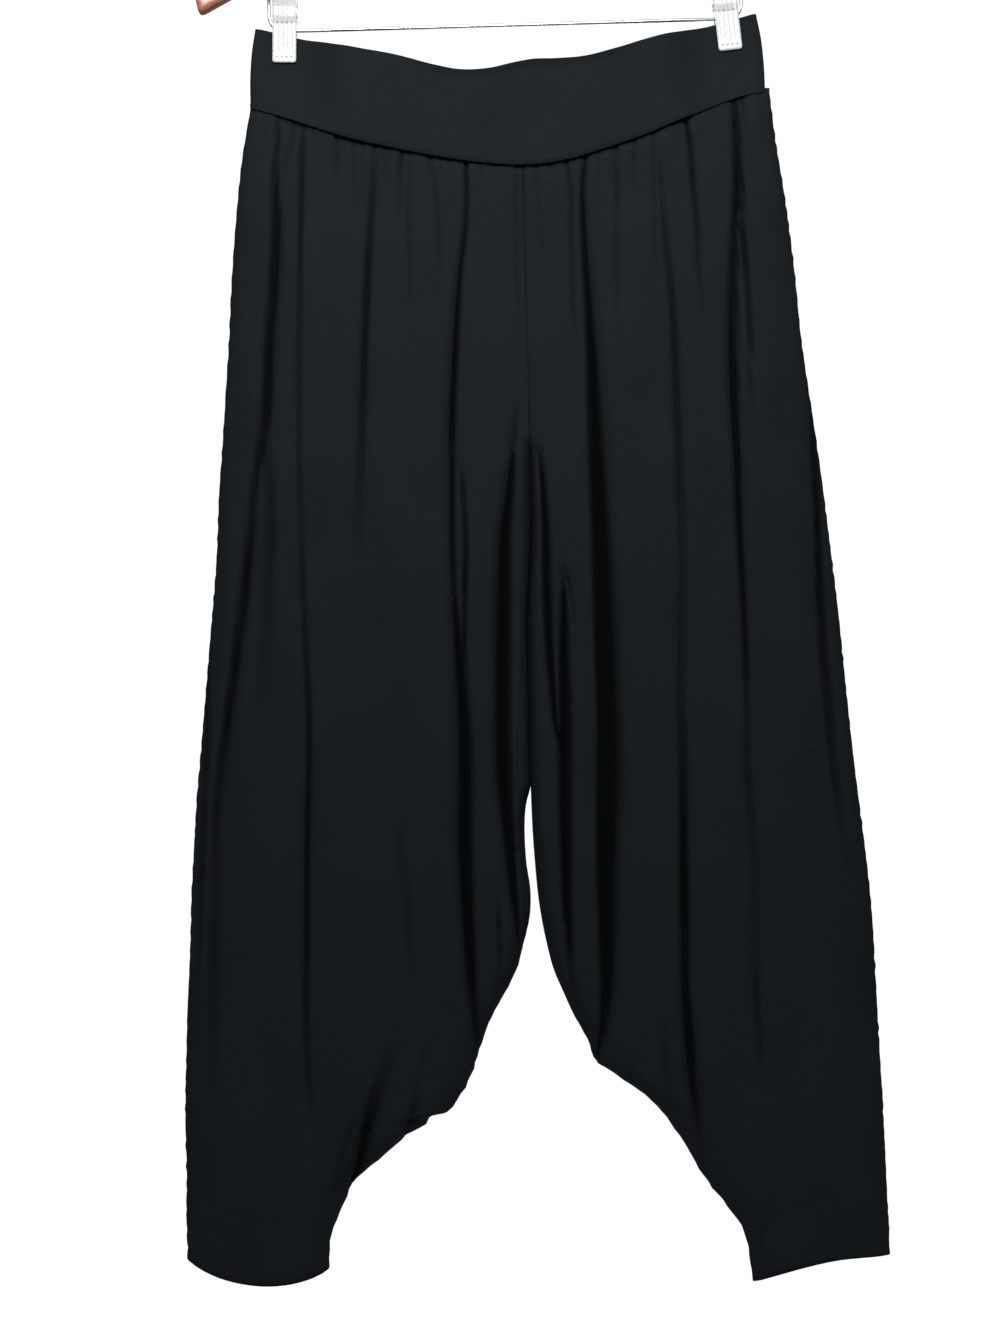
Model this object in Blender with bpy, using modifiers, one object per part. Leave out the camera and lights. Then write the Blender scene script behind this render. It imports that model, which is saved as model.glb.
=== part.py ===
"""Harem pants of black jersey, hung from their waistband on a wooden hanger with two clips.

The frame has +Z up, the front of the garment towards -Y and its origin at the crown of the hanger's
hook, where the hook rests on what holds it up. Tables are in millimetres: x across, y in depth, and
drop, how far a place lies below the hanger's bar. Left and right are the wearer's, so the right leg
is the one at -X.
"""

import math
from collections import namedtuple

import bmesh
import bpy
import numpy as np
from mathutils import Matrix, Vector

MM = 0.001

# Driving sizes, in millimetres
BAR_DROP = 220.0        # from the hook's crown down to the level that drops are measured from
BAR_LIFT = 1.5          # the bar's middle lies this much above that level
SEAM_GAP = 0.3          # clear between two pieces that are sewn or pressed together
CLOTH_WALL = 1.4        # one layer of jersey with its loft
BAND_WALL = 2.0         # the waistband's doubled jersey
CLIP_X = 159.0          # middle of each clip from the middle of the bar
CLIP_LEAN = {"right": 2.0, "left": 5.0}     # degrees, tips outward
BAR_THICK = 2.4         # the wire of the bar across
BAR_END_X = 170.0       # middle of each upright end of the bar
BAR_BEND = 11.0         # radius of its bends
HOOK_THICK = 3.4        # the wire of the hook across
HOOK_INNER_RADIUS = 21.0
WOOD_THICK = 12.0       # the wooden body from front to back

# The waistband's upper edge, from the wearer's right to left: drop of the front and of the back
EdgeRow = namedtuple("EdgeRow", "x front back")
BAND_TOP = [
    EdgeRow(-181, -3.0, -2.5),
    EdgeRow(-149, 4.0, 4.5),
    EdgeRow(-104, 12.5, 14.0),
    EdgeRow(-73, 19.0, 20.0),
    EdgeRow(-45, 27.0, 28.5),
    EdgeRow(-22, 29.5, 31.0),
    EdgeRow(8, 24.5, 29.0),
    EdgeRow(45, 22.5, 26.0),
    EdgeRow(78, 17.0, 20.0),
    EdgeRow(120, 7.0, 9.5),
    EdgeRow(150, 2.5, 3.5),
    EdgeRow(181, -4.0, -3.5),
]

# The seam that joins the waistband to the legs, which dips to the centre
SeamRow = namedtuple("SeamRow", "x drop")
BAND_SEAM = [
    SeamRow(-190, 53),
    SeamRow(-144, 67),
    SeamRow(-79, 86),
    SeamRow(9, 100),
    SeamRow(67, 90),
    SeamRow(130, 68),
    SeamRow(160, 57.5),
    SeamRow(190, 53),
]

# The band's silhouette at its side seams
BandRow = namedtuple("BandRow", "down half_width")
BAND_DEPTH = 13.0       # the band stands this far out from the middle, front and back
BAND_ROUND = 40.0       # and rounds off to its side seams over this length
BAND_EDGE_STEPS = (0, 0.7, 3, 6.5)     # columns in from each side seam
BAND_COLUMNS = (171.5, 159, 146.5, 133, 117, 99, 80, 60, 40, 20)   # and columns at each side of the middle
BAND_SIDES = [BandRow(0.0, 181), BandRow(0.3, 184), BandRow(0.6, 185.5), BandRow(1.0, 186)]

# Each leg laid flat, a row for each section: its outer and inner edge, x outward from the hook's line.
# The inner edge is the centre seam down to the crotch, and the fold of the inner leg below it.
LegRow = namedtuple("LegRow", "outer_x outer_drop inner_x inner_drop")
RIGHT_LEG = [
    LegRow(186, 54, -9, 100),
    LegRow(192, 85, -9, 128),
    LegRow(198, 130, -9, 170),
    LegRow(204, 195, -9, 222),
    LegRow(209, 255, -9, 268),
    LegRow(213, 300, -9, 295),
    LegRow(215, 325, -8.5, 310),
    LegRow(219, 375, -7.5, 365),
    LegRow(225, 430, -3, 425),
    LegRow(231, 485, -2.5, 485),
    LegRow(238, 540, -0.5, 545),
    LegRow(242, 595, 2, 600),
    LegRow(245, 632, -0.5, 630),
    LegRow(247, 665, 6, 660),
    LegRow(249, 700, 18, 692),
    LegRow(251, 730, 34, 724),
    LegRow(252, 757, 48, 757),
    LegRow(253, 780, 68, 779),
    LegRow(253, 803, 92, 794),
    LegRow(253, 828, 122, 818),
    LegRow(254, 852, 142, 843),
    LegRow(254, 879, 151, 889),
]
LEFT_LEG = [
    LegRow(189, 54, 9, 100),
    LegRow(192, 85, 9, 128),
    LegRow(198, 130, 9, 170),
    LegRow(204, 195, 9, 222),
    LegRow(209, 255, 9, 268),
    LegRow(215, 300, 9, 295),
    LegRow(219, 325, 8.5, 310),
    LegRow(223, 375, 8, 365),
    LegRow(228, 430, 3.5, 425),
    LegRow(232, 485, 3, 485),
    LegRow(236, 540, 2.5, 545),
    LegRow(242, 595, 4, 600),
    LegRow(245, 632, 6.5, 634),
    LegRow(246, 665, 12, 664),
    LegRow(247, 700, 23, 700),
    LegRow(248, 730, 40, 738),
    LegRow(249, 757, 62, 758),
    LegRow(250, 780, 83, 776),
    LegRow(250, 803, 99, 796),
    LegRow(251, 828, 119, 828),
    LegRow(252, 855, 139, 860),
    LegRow(252, 890, 152, 907),
]

# How full each section is: depth of the front and back from the middle, the length over which the
# outer and inner edges round off, how far the inner edge is closed into a tube, and how far the
# inseam has rolled on to the front
DepthRow = namedtuple("DepthRow", "drop front back outer_round inner_round closed seam_roll")
DEPTHS = [
    DepthRow(54, 12.4, 12.4, 40, 30, 0.0, 0),
    DepthRow(130, 13.5, 13.5, 46, 30, 0.0, 0),
    DepthRow(255, 15.0, 15.0, 52, 28, 0.05, 0),
    DepthRow(300, 15.5, 15.5, 54, 24, 0.5, 0),
    DepthRow(325, 16.0, 16.0, 55, 20, 1.0, 0),
    DepthRow(375, 16.5, 16.5, 56, 14, 1.0, 1.5),
    DepthRow(430, 17.0, 17.0, 58, 13, 1.0, 4),
    DepthRow(485, 17.5, 17.5, 58, 13, 1.0, 7),
    DepthRow(540, 18.0, 18.0, 58, 13, 1.0, 8),
    DepthRow(595, 18.0, 18.0, 58, 14, 1.0, 6),
    DepthRow(632, 17.8, 17.8, 57, 15, 1.0, 5),
    DepthRow(665, 17.5, 17.5, 56, 17, 1.0, 3),
    DepthRow(700, 17.3, 17.3, 54, 20, 1.0, 1),
    DepthRow(730, 17.0, 17.0, 52, 24, 1.0, 0),
    DepthRow(803, 15.0, 15.0, 42, 28, 1.0, 0),
    DepthRow(885, 12.0, 12.0, 34, 30, 1.0, 0),
]

# How far the hem droops between its two corners
HEM_DROOP = {
    ("right", "front"): 13.0,
    ("right", "back"): 9.0,
    ("left", "front"): -6.5,
    ("left", "back"): -9.0,
}
HEM_REACH = 4           # the droop fades out over this many sections above the hem
SEAM_REACH = 3          # and the dip of the waistband's seam over this many below it

# The largest folds: x outward at four drops, where each starts and ends, how deep it is and how wide
# its outer and inner slopes are
Fold = namedtuple("Fold", "name at_90 at_300 at_500 at_700 start end depth outer inner")
FOLD_DROPS = (90.0, 300.0, 500.0, 700.0)
FOLDS = {
    ("right", "front"): [
        Fold("hip pleat", 167, 184, 213, 240, 58, 540, 6.5, 8, 9),
        Fold("outer thigh fold", 148, 155, 156, 160, 66, 790, 4.5, 6, 7),
        Fold("short gather", 97, 112, 124, 130, 80, 380, 3.0, 8, 8),
        Fold("faint fold", 64, 78, 86, 92, 86, 700, 2.0, 8, 8),
        Fold("inner thigh fold", 31, 46, 49, 48, 95, 745, 6.0, 8, 8),
        Fold("crotch pleat", -2, 3, 20, 15, 290, 665, 7.5, 9, 5),
    ],
    ("left", "front"): [
        Fold("edge fold", 208, 212, 215, 236, 275, 610, 4.0, 5, 4),
        Fold("hip pleat", 162, 156, 157, 159, 58, 750, 6.0, 6, 7),
        Fold("short gather", 130, 135, 135, 136, 70, 270, 3.0, 6, 6),
        Fold("middle fold", 104, 112, 113, 114, 78, 810, 5.0, 7, 7),
        Fold("faint fold", 77, 81, 83, 84, 90, 280, 2.0, 8, 8),
        Fold("deep thigh pleat", 51, 51, 53, 52, 95, 750, 8.5, 13, 5),
        Fold("crotch pleat", 26, 28, 29, 27, 370, 695, 6.0, 6, 6),
    ],
    ("right", "back"): [
        Fold("hip pleat", 160, 172, 188, 205, 58, 480, 6.0, 8, 8),
        Fold("short gather", 138, 148, 159, 168, 68, 330, 2.5, 8, 8),
        Fold("middle fold", 116, 124, 130, 132, 76, 640, 5.0, 8, 8),
        Fold("faint fold", 86, 94, 100, 102, 84, 520, 2.0, 8, 8),
        Fold("deep thigh pleat", 58, 64, 70, 72, 92, 735, 7.0, 9, 7),
        Fold("crotch pleat", 16, 20, 28, 30, 280, 660, 6.0, 7, 7),
    ],
    ("left", "back"): [
        Fold("hip pleat", 150, 158, 166, 172, 58, 660, 6.0, 8, 7),
        Fold("short gather", 124, 132, 140, 145, 70, 300, 2.5, 8, 8),
        Fold("middle fold", 98, 106, 114, 118, 78, 520, 5.0, 8, 8),
        Fold("faint fold", 72, 80, 87, 90, 88, 640, 2.0, 8, 8),
        Fold("deep thigh pleat", 46, 54, 60, 60, 92, 745, 7.0, 7, 9),
        Fold("crotch pleat", 22, 22, 26, 30, 300, 650, 6.0, 6, 7),
    ],
}
SHALLOW = 3.5           # a fold less deep than this has no columns on its shoulders
SHOULDER = 1.4          # where the shoulders lie, in widths of the fold's slope
FOLD_EASE = 55.0        # a fold grows and fades over this length
EDGE_SHARES = (0.0, 0.25, 0.6, 1.0)     # columns of a panel round the edge of the leg
STEER_ANGLE = 7.0       # degrees from a seam to the first column at each side of it
EDGE_ANGLE = 40.0       # degrees round the edge, from its outermost line, that those columns reach
EVEN_FROM = 690.0       # below this the columns leave the folds and spread evenly
EVEN_TO = 850.0

# Where the clips pinch the layers together: flat this far from a clip's middle, then opening over these
# lengths towards the middle of the band and towards its side seam, and below the jaws' tips
PINCH_FLAT = 12.5
PINCH_INWARD = 36.0
PINCH_OUTWARD = 9.0
PINCH_DROP = 24.0
PINCH_FADE = 95.0

# A clip's jaw in side view: drop, distance of its inner face from the middle, half its width
JawRow = namedtuple("JawRow", "drop inner half_width")
JAW = [
    JawRow(22.0, 0.0, 6.5),
    JawRow(21.3, 0.0, 7.8),
    JawRow(19.6, 0.0, 8.5),
    JawRow(-6.0, 0.0, 8.5),
    JawRow(-10.5, 1.6, 8.5),
    JawRow(-17.5, 1.9, 8.5),
    JawRow(-27.0, 5.4, 8.5),
    JawRow(-35.2, 8.4, 8.5),
    JawRow(-37.2, 9.1, 7.8),
    JawRow(-38.0, 9.4, 6.0),
]
JAW_THICK = 1.8
JAW_INNER = BAND_WALL + SEAM_GAP / 2 + SEAM_GAP
SPRING_DROP = -14.0
SPRING_RADIUS = 3.2
SPRING_LENGTH = 12.0

# The wooden body's middle line above the bar, and its height, from the neck out to a tip
ArmRow = namedtuple("ArmRow", "x lift height")
ARM = [
    ArmRow(0, 112, 32),
    ArmRow(30, 107, 31),
    ArmRow(60, 98, 29),
    ArmRow(90, 87, 28),
    ArmRow(120, 75, 27),
    ArmRow(150, 61, 26),
    ArmRow(180, 47.5, 25),
    ArmRow(205, 35, 24),
    ArmRow(222.5, 26, 23),
]

COLOURS = {
    "jersey": (0.018, 0.022, 0.025),
    "wood": (0.21, 0.075, 0.032),
    "steel": (0.62, 0.62, 0.60),
    "plastic": (0.80, 0.81, 0.80),
}


def material(name, roughness, metallic=0.0):
    made = bpy.data.materials.new(name)
    made.use_nodes = True
    shader = made.node_tree.nodes["Principled BSDF"]
    shader.inputs["Base Color"].default_value = (*COLOURS[name], 1.0)
    shader.inputs["Roughness"].default_value = roughness
    shader.inputs["Metallic"].default_value = metallic
    return made


def world(x, y, drop):
    """A place given across, in depth and below the bar, as a point in metres."""
    return Vector((x * MM, y * MM, -(BAR_DROP + drop) * MM))


def curve_through(xs, ys, x):
    """The smooth curve through a table's rows: a cubic between rows, its slope from their neighbours."""
    xs = np.array(xs, float)
    ys = np.array(ys, float)
    slopes = np.gradient(ys, xs)
    i = int(np.clip(np.searchsorted(xs, x) - 1, 0, len(xs) - 2))
    span = xs[i + 1] - xs[i]
    t = float(np.clip((x - xs[i]) / span, 0, 1))
    rise = ys[i + 1] - ys[i]
    start = slopes[i] * span
    end = slopes[i + 1] * span
    return ys[i] + start * t + (3 * rise - 2 * start - end) * t**2 + (start + end - 2 * rise) * t**3


def column(table, name):
    return [getattr(row, name) for row in table]


def ease(low, high, x):
    """0 below low, 1 above high, and a soft rise between them."""
    t = min(1.0, max(0.0, (x - low) / (high - low)))
    return t * t * (3 - 2 * t)


def arc_height(inset, length):
    """The height of a quarter ellipse of that length and height 1, at a distance in from its end."""
    t = min(1.0, max(0.0, inset / length))
    return math.sqrt(max(0.0, 1 - (1 - t) ** 2))


def seam_drop(x):
    return curve_through(column(BAND_SEAM, "x"), column(BAND_SEAM, "drop"), x)


def pinch(x, drop):
    """How far the clips press the layers together: 1 between their jaws."""
    away = abs(x) - CLIP_X
    reach = PINCH_OUTWARD if away > 0 else PINCH_INWARD
    across = 1 - ease(PINCH_FLAT, PINCH_FLAT + reach, abs(away))
    return across * (1 - ease(PINCH_DROP, PINCH_DROP + PINCH_FADE, drop))


def pressed(depth, wall, x, drop):
    """The depth of an outer face once the clips have pinched the layers to a seam's gap."""
    closest = wall + SEAM_GAP / 2
    return depth + (min(depth, closest) - depth) * pinch(x, drop)


def fold_x(fold, drop):
    at = (fold.at_90, fold.at_300, fold.at_500, fold.at_700)
    return curve_through(FOLD_DROPS, at, min(max(drop, FOLD_DROPS[0]), FOLD_DROPS[-1]))


def fold_depth(fold, x, drop):
    """How far a fold sinks the cloth at a place."""
    away = x - fold_x(fold, drop)
    width = fold.outer if away > 0 else fold.inner
    grown = ease(fold.start - FOLD_EASE, fold.start + FOLD_EASE, drop)
    left = 1 - ease(fold.end - 2 * FOLD_EASE, fold.end, drop)
    return fold.depth * grown * left * (1 - ease(0, 1.6 * width, abs(away)))


def depth_row(drop):
    """The fullness at a drop, read between the rows of its table."""
    drops = column(DEPTHS, "drop")
    return DepthRow(*(float(np.interp(drop, drops, column(DEPTHS, name))) for name in DepthRow._fields))


def facing(grid):
    """The outward direction at each place of a grid, from the facets that meet there. The grid has one
    more column at each side than the piece, and those two columns only steer the directions."""
    across = np.diff(grid, axis=1)
    down = np.diff(grid, axis=0)
    facets = np.cross(across[:-1], down[:, :-1])
    facets += np.cross(across[1:], down[:, 1:])
    facets /= np.linalg.norm(facets, axis=2, keepdims=True)
    above = np.concatenate([facets[:1], facets])
    below = np.concatenate([facets, facets[-1:]])
    meeting = above + below
    places = meeting[:, :-1] + meeting[:, 1:]
    return places / np.linalg.norm(places, axis=2, keepdims=True)


def wall(name, steered, thick, paint, level_top=False, level_foot=False):
    """A piece of cloth behind a grid of places (x, y, drop), rows running down. Where an edge is level,
    its thickness lies flat, so that it meets the next piece squarely."""
    steered = np.array(steered, float)
    outward = facing(steered)
    if level_top:
        outward[0, :, 2] = 0
    if level_foot:
        outward[-1, :, 2] = 0
    outward /= np.linalg.norm(outward, axis=2, keepdims=True)
    outer = steered[:, 1:-1]
    layers = (outer - thick * outward, outer)
    rows, columns = outer.shape[:2]
    bm = bmesh.new()
    bmesh.ops.create_grid(bm, x_segments=columns - 1, y_segments=rows - 1, size=1)
    slab = bmesh.ops.extrude_face_region(bm, geom=bm.faces[:])
    lifted = [v for v in slab["geom"] if isinstance(v, bmesh.types.BMVert)]
    bmesh.ops.translate(bm, verts=lifted, vec=(0, 0, 1))
    bmesh.ops.recalc_face_normals(bm, faces=bm.faces)
    for vert in bm.verts:
        down = round((1 - vert.co.y) / 2 * (rows - 1))
        across = round((1 + vert.co.x) / 2 * (columns - 1))
        vert.co = world(*layers[round(vert.co.z)][down][across])
    if bm.calc_volume(signed=True) < 0:
        bmesh.ops.reverse_faces(bm, faces=bm.faces)
    mesh = bpy.data.meshes.new(name)
    bm.to_mesh(mesh)
    bm.free()
    return add(name, mesh, paint)


def add(name, data, paint):
    made = bpy.data.objects.new(name, data)
    garment.objects.link(made)
    data.materials.append(paint)
    return made


def band_grid(face):
    """Places over the front or back of the waistband, from one side seam to the other."""
    sign = -1 if face == "front" else 1
    rows = []
    for down in (0.0, 0.25, 0.5, 0.75, 1.0):
        half = curve_through(column(BAND_SIDES, "down"), column(BAND_SIDES, "half_width"), down)
        right = [-half + step for step in BAND_EDGE_STEPS] + [-x for x in BAND_COLUMNS]
        row = []
        for x in right + [0.0] + [-x for x in reversed(right)]:
            top = curve_through(column(BAND_TOP, "x"), column(BAND_TOP, face), x)
            drop = top + (seam_drop(x) - SEAM_GAP - top) * down
            depth = pressed(BAND_DEPTH * arc_height(half - abs(x), BAND_ROUND), BAND_WALL, x, drop)
            row.append((x, sign * max(depth, SEAM_GAP / 2), drop))
        past = [(x, -y, drop) for x, y, drop in (row[1], row[-2])]
        row = [past[0]] + row + [past[1]]
        rows.append(row if sign < 0 else row[::-1])
    return rows


def edge_insets(length, depth, roll, sign):
    """Columns round an edge, from its seam: distance in from the edge, and 1 in front or -1 behind.
    The seam lies roll in from the edge on the front; sign is 1 for the front panel, -1 for the back.
    The first column lies past the seam and only steers the wall."""
    middle = math.acos(1 - min(roll, length) / length)
    speed = math.hypot(length * math.sin(middle), depth * math.cos(middle))
    seam = middle + sign * SEAM_GAP / 2 / speed
    step = sign * math.radians(STEER_ANGLE)
    last = max(math.radians(EDGE_ANGLE), middle + 3 * step) if sign > 0 else -math.radians(EDGE_ANGLE)
    angles = [middle - step, seam]
    angles += [middle + step + (last - middle - step) * share for share in EDGE_SHARES]
    return [(length * (1 - math.cos(angle)), 1 if angle > 0 else -1) for angle in angles]


def in_order(xs, first, last, gap):
    """The columns between first and last, moved as little as keeps them in order and a gap apart."""
    xs = list(xs)
    for k, x in enumerate(xs):
        xs[k] = min(x, (xs[k - 1] if k else first) - gap)
    for k in reversed(range(len(xs))):
        after = xs[k + 1] if k + 1 < len(xs) else last
        xs[k] = max(xs[k], after + gap)
    return xs


def fold_columns(folds, drop, outer, inner):
    """The panel's columns between its edges: one in each fold, and one on each shoulder of a deep one."""
    xs = []
    for fold in sorted(folds, key=lambda f: -f.at_300):
        x = fold_x(fold, drop)
        shallow = fold.depth < SHALLOW
        xs += [x] if shallow else [x + fold.outer * SHOULDER, x, x - fold.inner * SHOULDER]
    even = [outer + (inner - outer) * (k + 1) / (len(xs) + 1) for k in range(len(xs))]
    share = ease(EVEN_FROM, EVEN_TO, drop)
    mixed = [x + (e - x) * share for x, e in zip(xs, even)]
    return in_order(mixed, outer, inner, 0.45 * (outer - inner) / (len(xs) + 1))


def leg_grid(leg, face):
    """Places over one panel of a leg. Columns run from the side seam to the centre seam or inseam."""
    table = RIGHT_LEG if leg == "right" else LEFT_LEG
    mirror = -1 if leg == "right" else 1
    sign = 1 if face == "front" else -1
    folds = FOLDS[leg, face]
    last = len(table) - 1
    first = table[0]
    grid = []
    for k, row in enumerate(table):
        full = depth_row(row.outer_drop)
        depth = full.front if sign > 0 else full.back
        inner_x = row.inner_x + (SEAM_GAP / 2 if row.inner_drop <= 310 else 0)
        width = row.outer_x - inner_x
        outer = edge_insets(full.outer_round, depth, 0, sign)
        inner = edge_insets(full.inner_round, depth, full.seam_roll, sign)
        middle = (row.outer_drop + row.inner_drop) / 2
        xs = [(row.outer_x - inset, side) for inset, side in outer]
        ends = [(inner_x + inset, side) for inset, side in reversed(inner)]
        xs += [(x, sign) for x in fold_columns(folds, middle, xs[-1][0], ends[0][0])] + ends
        places = []
        for x, side in xs:
            t = (row.outer_x - x) / width
            drop = row.outer_drop + (row.inner_drop - row.outer_drop) * t
            seam_x = first.outer_x + (first.inner_x - first.outer_x) * t
            chord = first.outer_drop + (first.inner_drop - first.outer_drop) * t
            dip = seam_drop(mirror * seam_x) - chord
            drop += dip * (1 - ease(0, SEAM_REACH, k))
            drop += 4 * t * (1 - t) * HEM_DROOP[leg, face] * ease(last - HEM_REACH, last, k)
            at_outer = arc_height(row.outer_x - x, full.outer_round)
            at_inner = 1 - full.closed * (1 - arc_height(x - inner_x, full.inner_round))
            rounded = at_outer * at_inner
            sunk = sum(fold_depth(fold, x, drop) for fold in folds) if side == sign else 0.0
            away = pressed(depth * rounded - sunk * min(1.0, 1.3 * rounded), CLOTH_WALL, x, drop)
            places.append((mirror * x, -side * away, drop))
        if full.closed < 1:
            places[-1] = beyond(places[-2], places[-3], full.closed)
        grid.append(places if (mirror * sign < 0) else places[::-1])
    return grid


def beyond(end, near, closed):
    """Where the centre seam isn't closed into a tube, the column that steers its wall: the next leg's."""
    x = 2 * end[0] - near[0]
    y = near[1] if closed == 0 else 2 * end[1] - near[1]
    return (x, y, near[2] if closed == 0 else 2 * end[2] - near[2])


def tube(name, points, thick, paint, sides=2):
    """A wire of round section through points in metres, with closed ends."""
    data = bpy.data.curves.new(name, "CURVE")
    data.dimensions = "3D"
    line = data.splines.new("POLY")
    line.points.add(len(points) - 1)
    for point, place in zip(line.points, points):
        point.co = (*place, 1)
    data.bevel_depth = thick / 2 * MM
    data.bevel_resolution = sides
    data.use_fill_caps = True
    return add(name, data, paint)


def board(name, grid, thick, paint):
    """A plate of even thickness whose middle runs through a grid of places (x, y, drop)."""
    rows = len(grid)
    columns = len(grid[0])
    bm = bmesh.new()
    bmesh.ops.create_grid(bm, x_segments=columns - 1, y_segments=rows - 1, size=1)
    for vert in bm.verts:
        down = round((1 - vert.co.y) / 2 * (rows - 1))
        across = round((1 + vert.co.x) / 2 * (columns - 1))
        vert.co = world(*grid[down][across])
    mesh = bpy.data.meshes.new(name)
    bm.to_mesh(mesh)
    bm.free()
    made = add(name, mesh, paint)
    plate = made.modifiers.new("thickness", "SOLIDIFY")
    plate.thickness = thick * MM
    plate.offset = 0
    return made


def turn(centre_x, centre_drop, radius, start, end, steps):
    """Points round an arc in the hanger's plane, angles in degrees from +X towards +Z."""
    points = []
    for k in range(steps + 1):
        angle = math.radians(start + (end - start) * k / steps)
        points.append(world(centre_x + radius * math.cos(angle), 0, centre_drop - radius * math.sin(angle)))
    return points


def arm_lift(x):
    return curve_through(column(ARM, "x"), column(ARM, "lift"), abs(x))


def arm_height(x):
    return curve_through(column(ARM, "x"), column(ARM, "height"), abs(x))


def make_wood(paint):
    """The hanger's body: one bowed bar of wood with rounded edges."""
    xs = [-row.x for row in reversed(ARM[1:])] + [row.x for row in ARM]
    tip_cut = 4.5       # the tips are cut square to the arms, so their lower corners stand further in
    grid = []
    for share in (0.5, -0.5):
        row = []
        for x in xs:
            end = abs(x) == ARM[-1].x
            lean = -tip_cut * share if end else 0
            row.append((x + math.copysign(lean, x), 0, -arm_lift(x) - arm_height(x) * share))
        grid.append(row)
    made = board("hanger_wood", grid, WOOD_THICK, paint)
    rounding = made.modifiers.new("rounded edges", "BEVEL")
    rounding.width = 3.5 * MM
    rounding.segments = 2
    rounding.limit_method = "ANGLE"
    rounding.angle_limit = math.radians(50)
    return made


def make_hook(paint):
    """The hook: a stem that sways out to one side and turns over the crown to its tip."""
    radius = HOOK_INNER_RADIUS + HOOK_THICK / 2
    centre_drop = -BAR_DROP + HOOK_INNER_RADIUS
    foot = world(0, 0, -arm_lift(0) - arm_height(0) / 2 - SEAM_GAP)
    loop = turn(0, centre_drop, radius, -38, 196, 26)
    start = loop[0]
    along = (loop[1] - loop[0]).normalized()
    stem_top = foot + Vector((0, 0, 16 * MM))
    near_stem = stem_top + Vector((0, 0, 20 * MM))
    near_loop = start - along * 16 * MM
    sway = []
    for k in range(8):
        t = k / 8
        corners = ((1 - t) ** 3, 3 * t * (1 - t) ** 2, 3 * t * t * (1 - t), t**3)
        places = (stem_top, near_stem, near_loop, start)
        sway.append(sum((p * c for p, c in zip(places, corners)), Vector()))
    return tube("hanger_hook", [foot] + sway + loop, HOOK_THICK, paint, sides=3)


def make_bar(paint):
    """The bar that the clips slide on, its ends bent up into the wood."""
    bend_x = BAR_END_X - BAR_BEND
    bend_drop = -BAR_LIFT - BAR_BEND
    into_wood = -arm_lift(BAR_END_X) + arm_height(BAR_END_X) / 2 + SEAM_GAP * 3
    points = [world(-BAR_END_X, 0, into_wood)]
    points += turn(-bend_x, bend_drop, BAR_BEND, 180, 270, 6)
    points += turn(bend_x, bend_drop, BAR_BEND, -90, 0, 6)
    points += [world(BAR_END_X, 0, into_wood)]
    return tube("hanger_bar", points, BAR_THICK, paint)


def make_jaw(leg, face, paint):
    """One moulded jaw of a clip: flat where it grips and flared above the spring."""
    mirror = -1 if leg == "right" else 1
    sign = -1 if face == "front" else 1
    grid = []
    for row in JAW:
        y = sign * (JAW_INNER + row.inner + JAW_THICK / 2)
        grid.append([(row.half_width * share, y, row.drop) for share in (-1.0, 0.0, 1.0)])
    made = board(f"clip_{leg}_{face}_jaw", grid, JAW_THICK, paint)
    lean_clip(made, mirror, CLIP_LEAN[leg])
    return made


def lean_clip(made, mirror, degrees):
    """Carries a clip's piece out to its place on the bar and leans it there, tip outward."""
    pivot = world(0, 0, -BAR_LIFT)
    lean = Matrix.Rotation(-mirror * math.radians(degrees), 4, "Y")
    made.matrix_world = (
        Matrix.Translation((mirror * CLIP_X * MM, 0, 0))
        @ Matrix.Translation(pivot)
        @ lean
        @ Matrix.Translation(-pivot)
    )


def make_spring(leg, paint):
    """The coil between the jaws, above the bar, as the barrel that its turns fill."""
    mirror = -1 if leg == "right" else 1
    bm = bmesh.new()
    bmesh.ops.create_cone(
        bm,
        cap_ends=True,
        segments=16,
        radius1=SPRING_RADIUS * MM,
        radius2=SPRING_RADIUS * MM,
        depth=SPRING_LENGTH * MM,
    )
    bmesh.ops.rotate(bm, verts=bm.verts, cent=(0, 0, 0), matrix=Matrix.Rotation(math.pi / 2, 3, "Y"))
    bmesh.ops.translate(bm, verts=bm.verts, vec=world(0, 0, SPRING_DROP))
    mesh = bpy.data.meshes.new("spring")
    bm.to_mesh(mesh)
    bm.free()
    made = add(f"clip_{leg}_spring", mesh, paint)
    lean_clip(made, mirror, CLIP_LEAN[leg])
    return made


for old in list(bpy.data.objects):
    bpy.data.objects.remove(old)
garment = bpy.data.collections.new("harem pants on a clip hanger")
bpy.context.scene.collection.children.link(garment)

jersey = material("jersey", 0.75)
wood = material("wood", 0.4)
steel = material("steel", 0.25, 1.0)
plastic = material("plastic", 0.3)

for face in ("front", "back"):
    wall(f"waistband_{face}", band_grid(face), BAND_WALL, jersey, level_foot=True)
for leg in ("right", "left"):
    for face in ("front", "back"):
        wall(f"{leg}_leg_{face}", leg_grid(leg, face), CLOTH_WALL, jersey, level_top=True)
        make_jaw(leg, face, plastic)
    make_spring(leg, steel)
make_wood(wood)
make_hook(steel)
make_bar(steel)
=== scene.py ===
"""Looks for harem pants of black viscose jersey, hung by the waistband on a wooden clip hanger.

Lengths in the tables are millimetres. x runs across, "out" is the same measured outward from the
hook's line on either leg, y is depth with the front of the garment at -Y, and drop is how far a place
lies below the hanger's bar. Left and right are the wearer's, so the right leg is the one at -X.
"""

import math  # noqa: E402
import random  # noqa: E402
from collections import namedtuple  # noqa: E402

import bmesh  # noqa: E402
import bpy  # noqa: E402
import numpy as np  # noqa: E402
from bpy.props import FloatProperty, FloatVectorProperty, IntProperty, PointerProperty  # noqa: E402
from mathutils import Matrix, Vector  # noqa: E402

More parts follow.
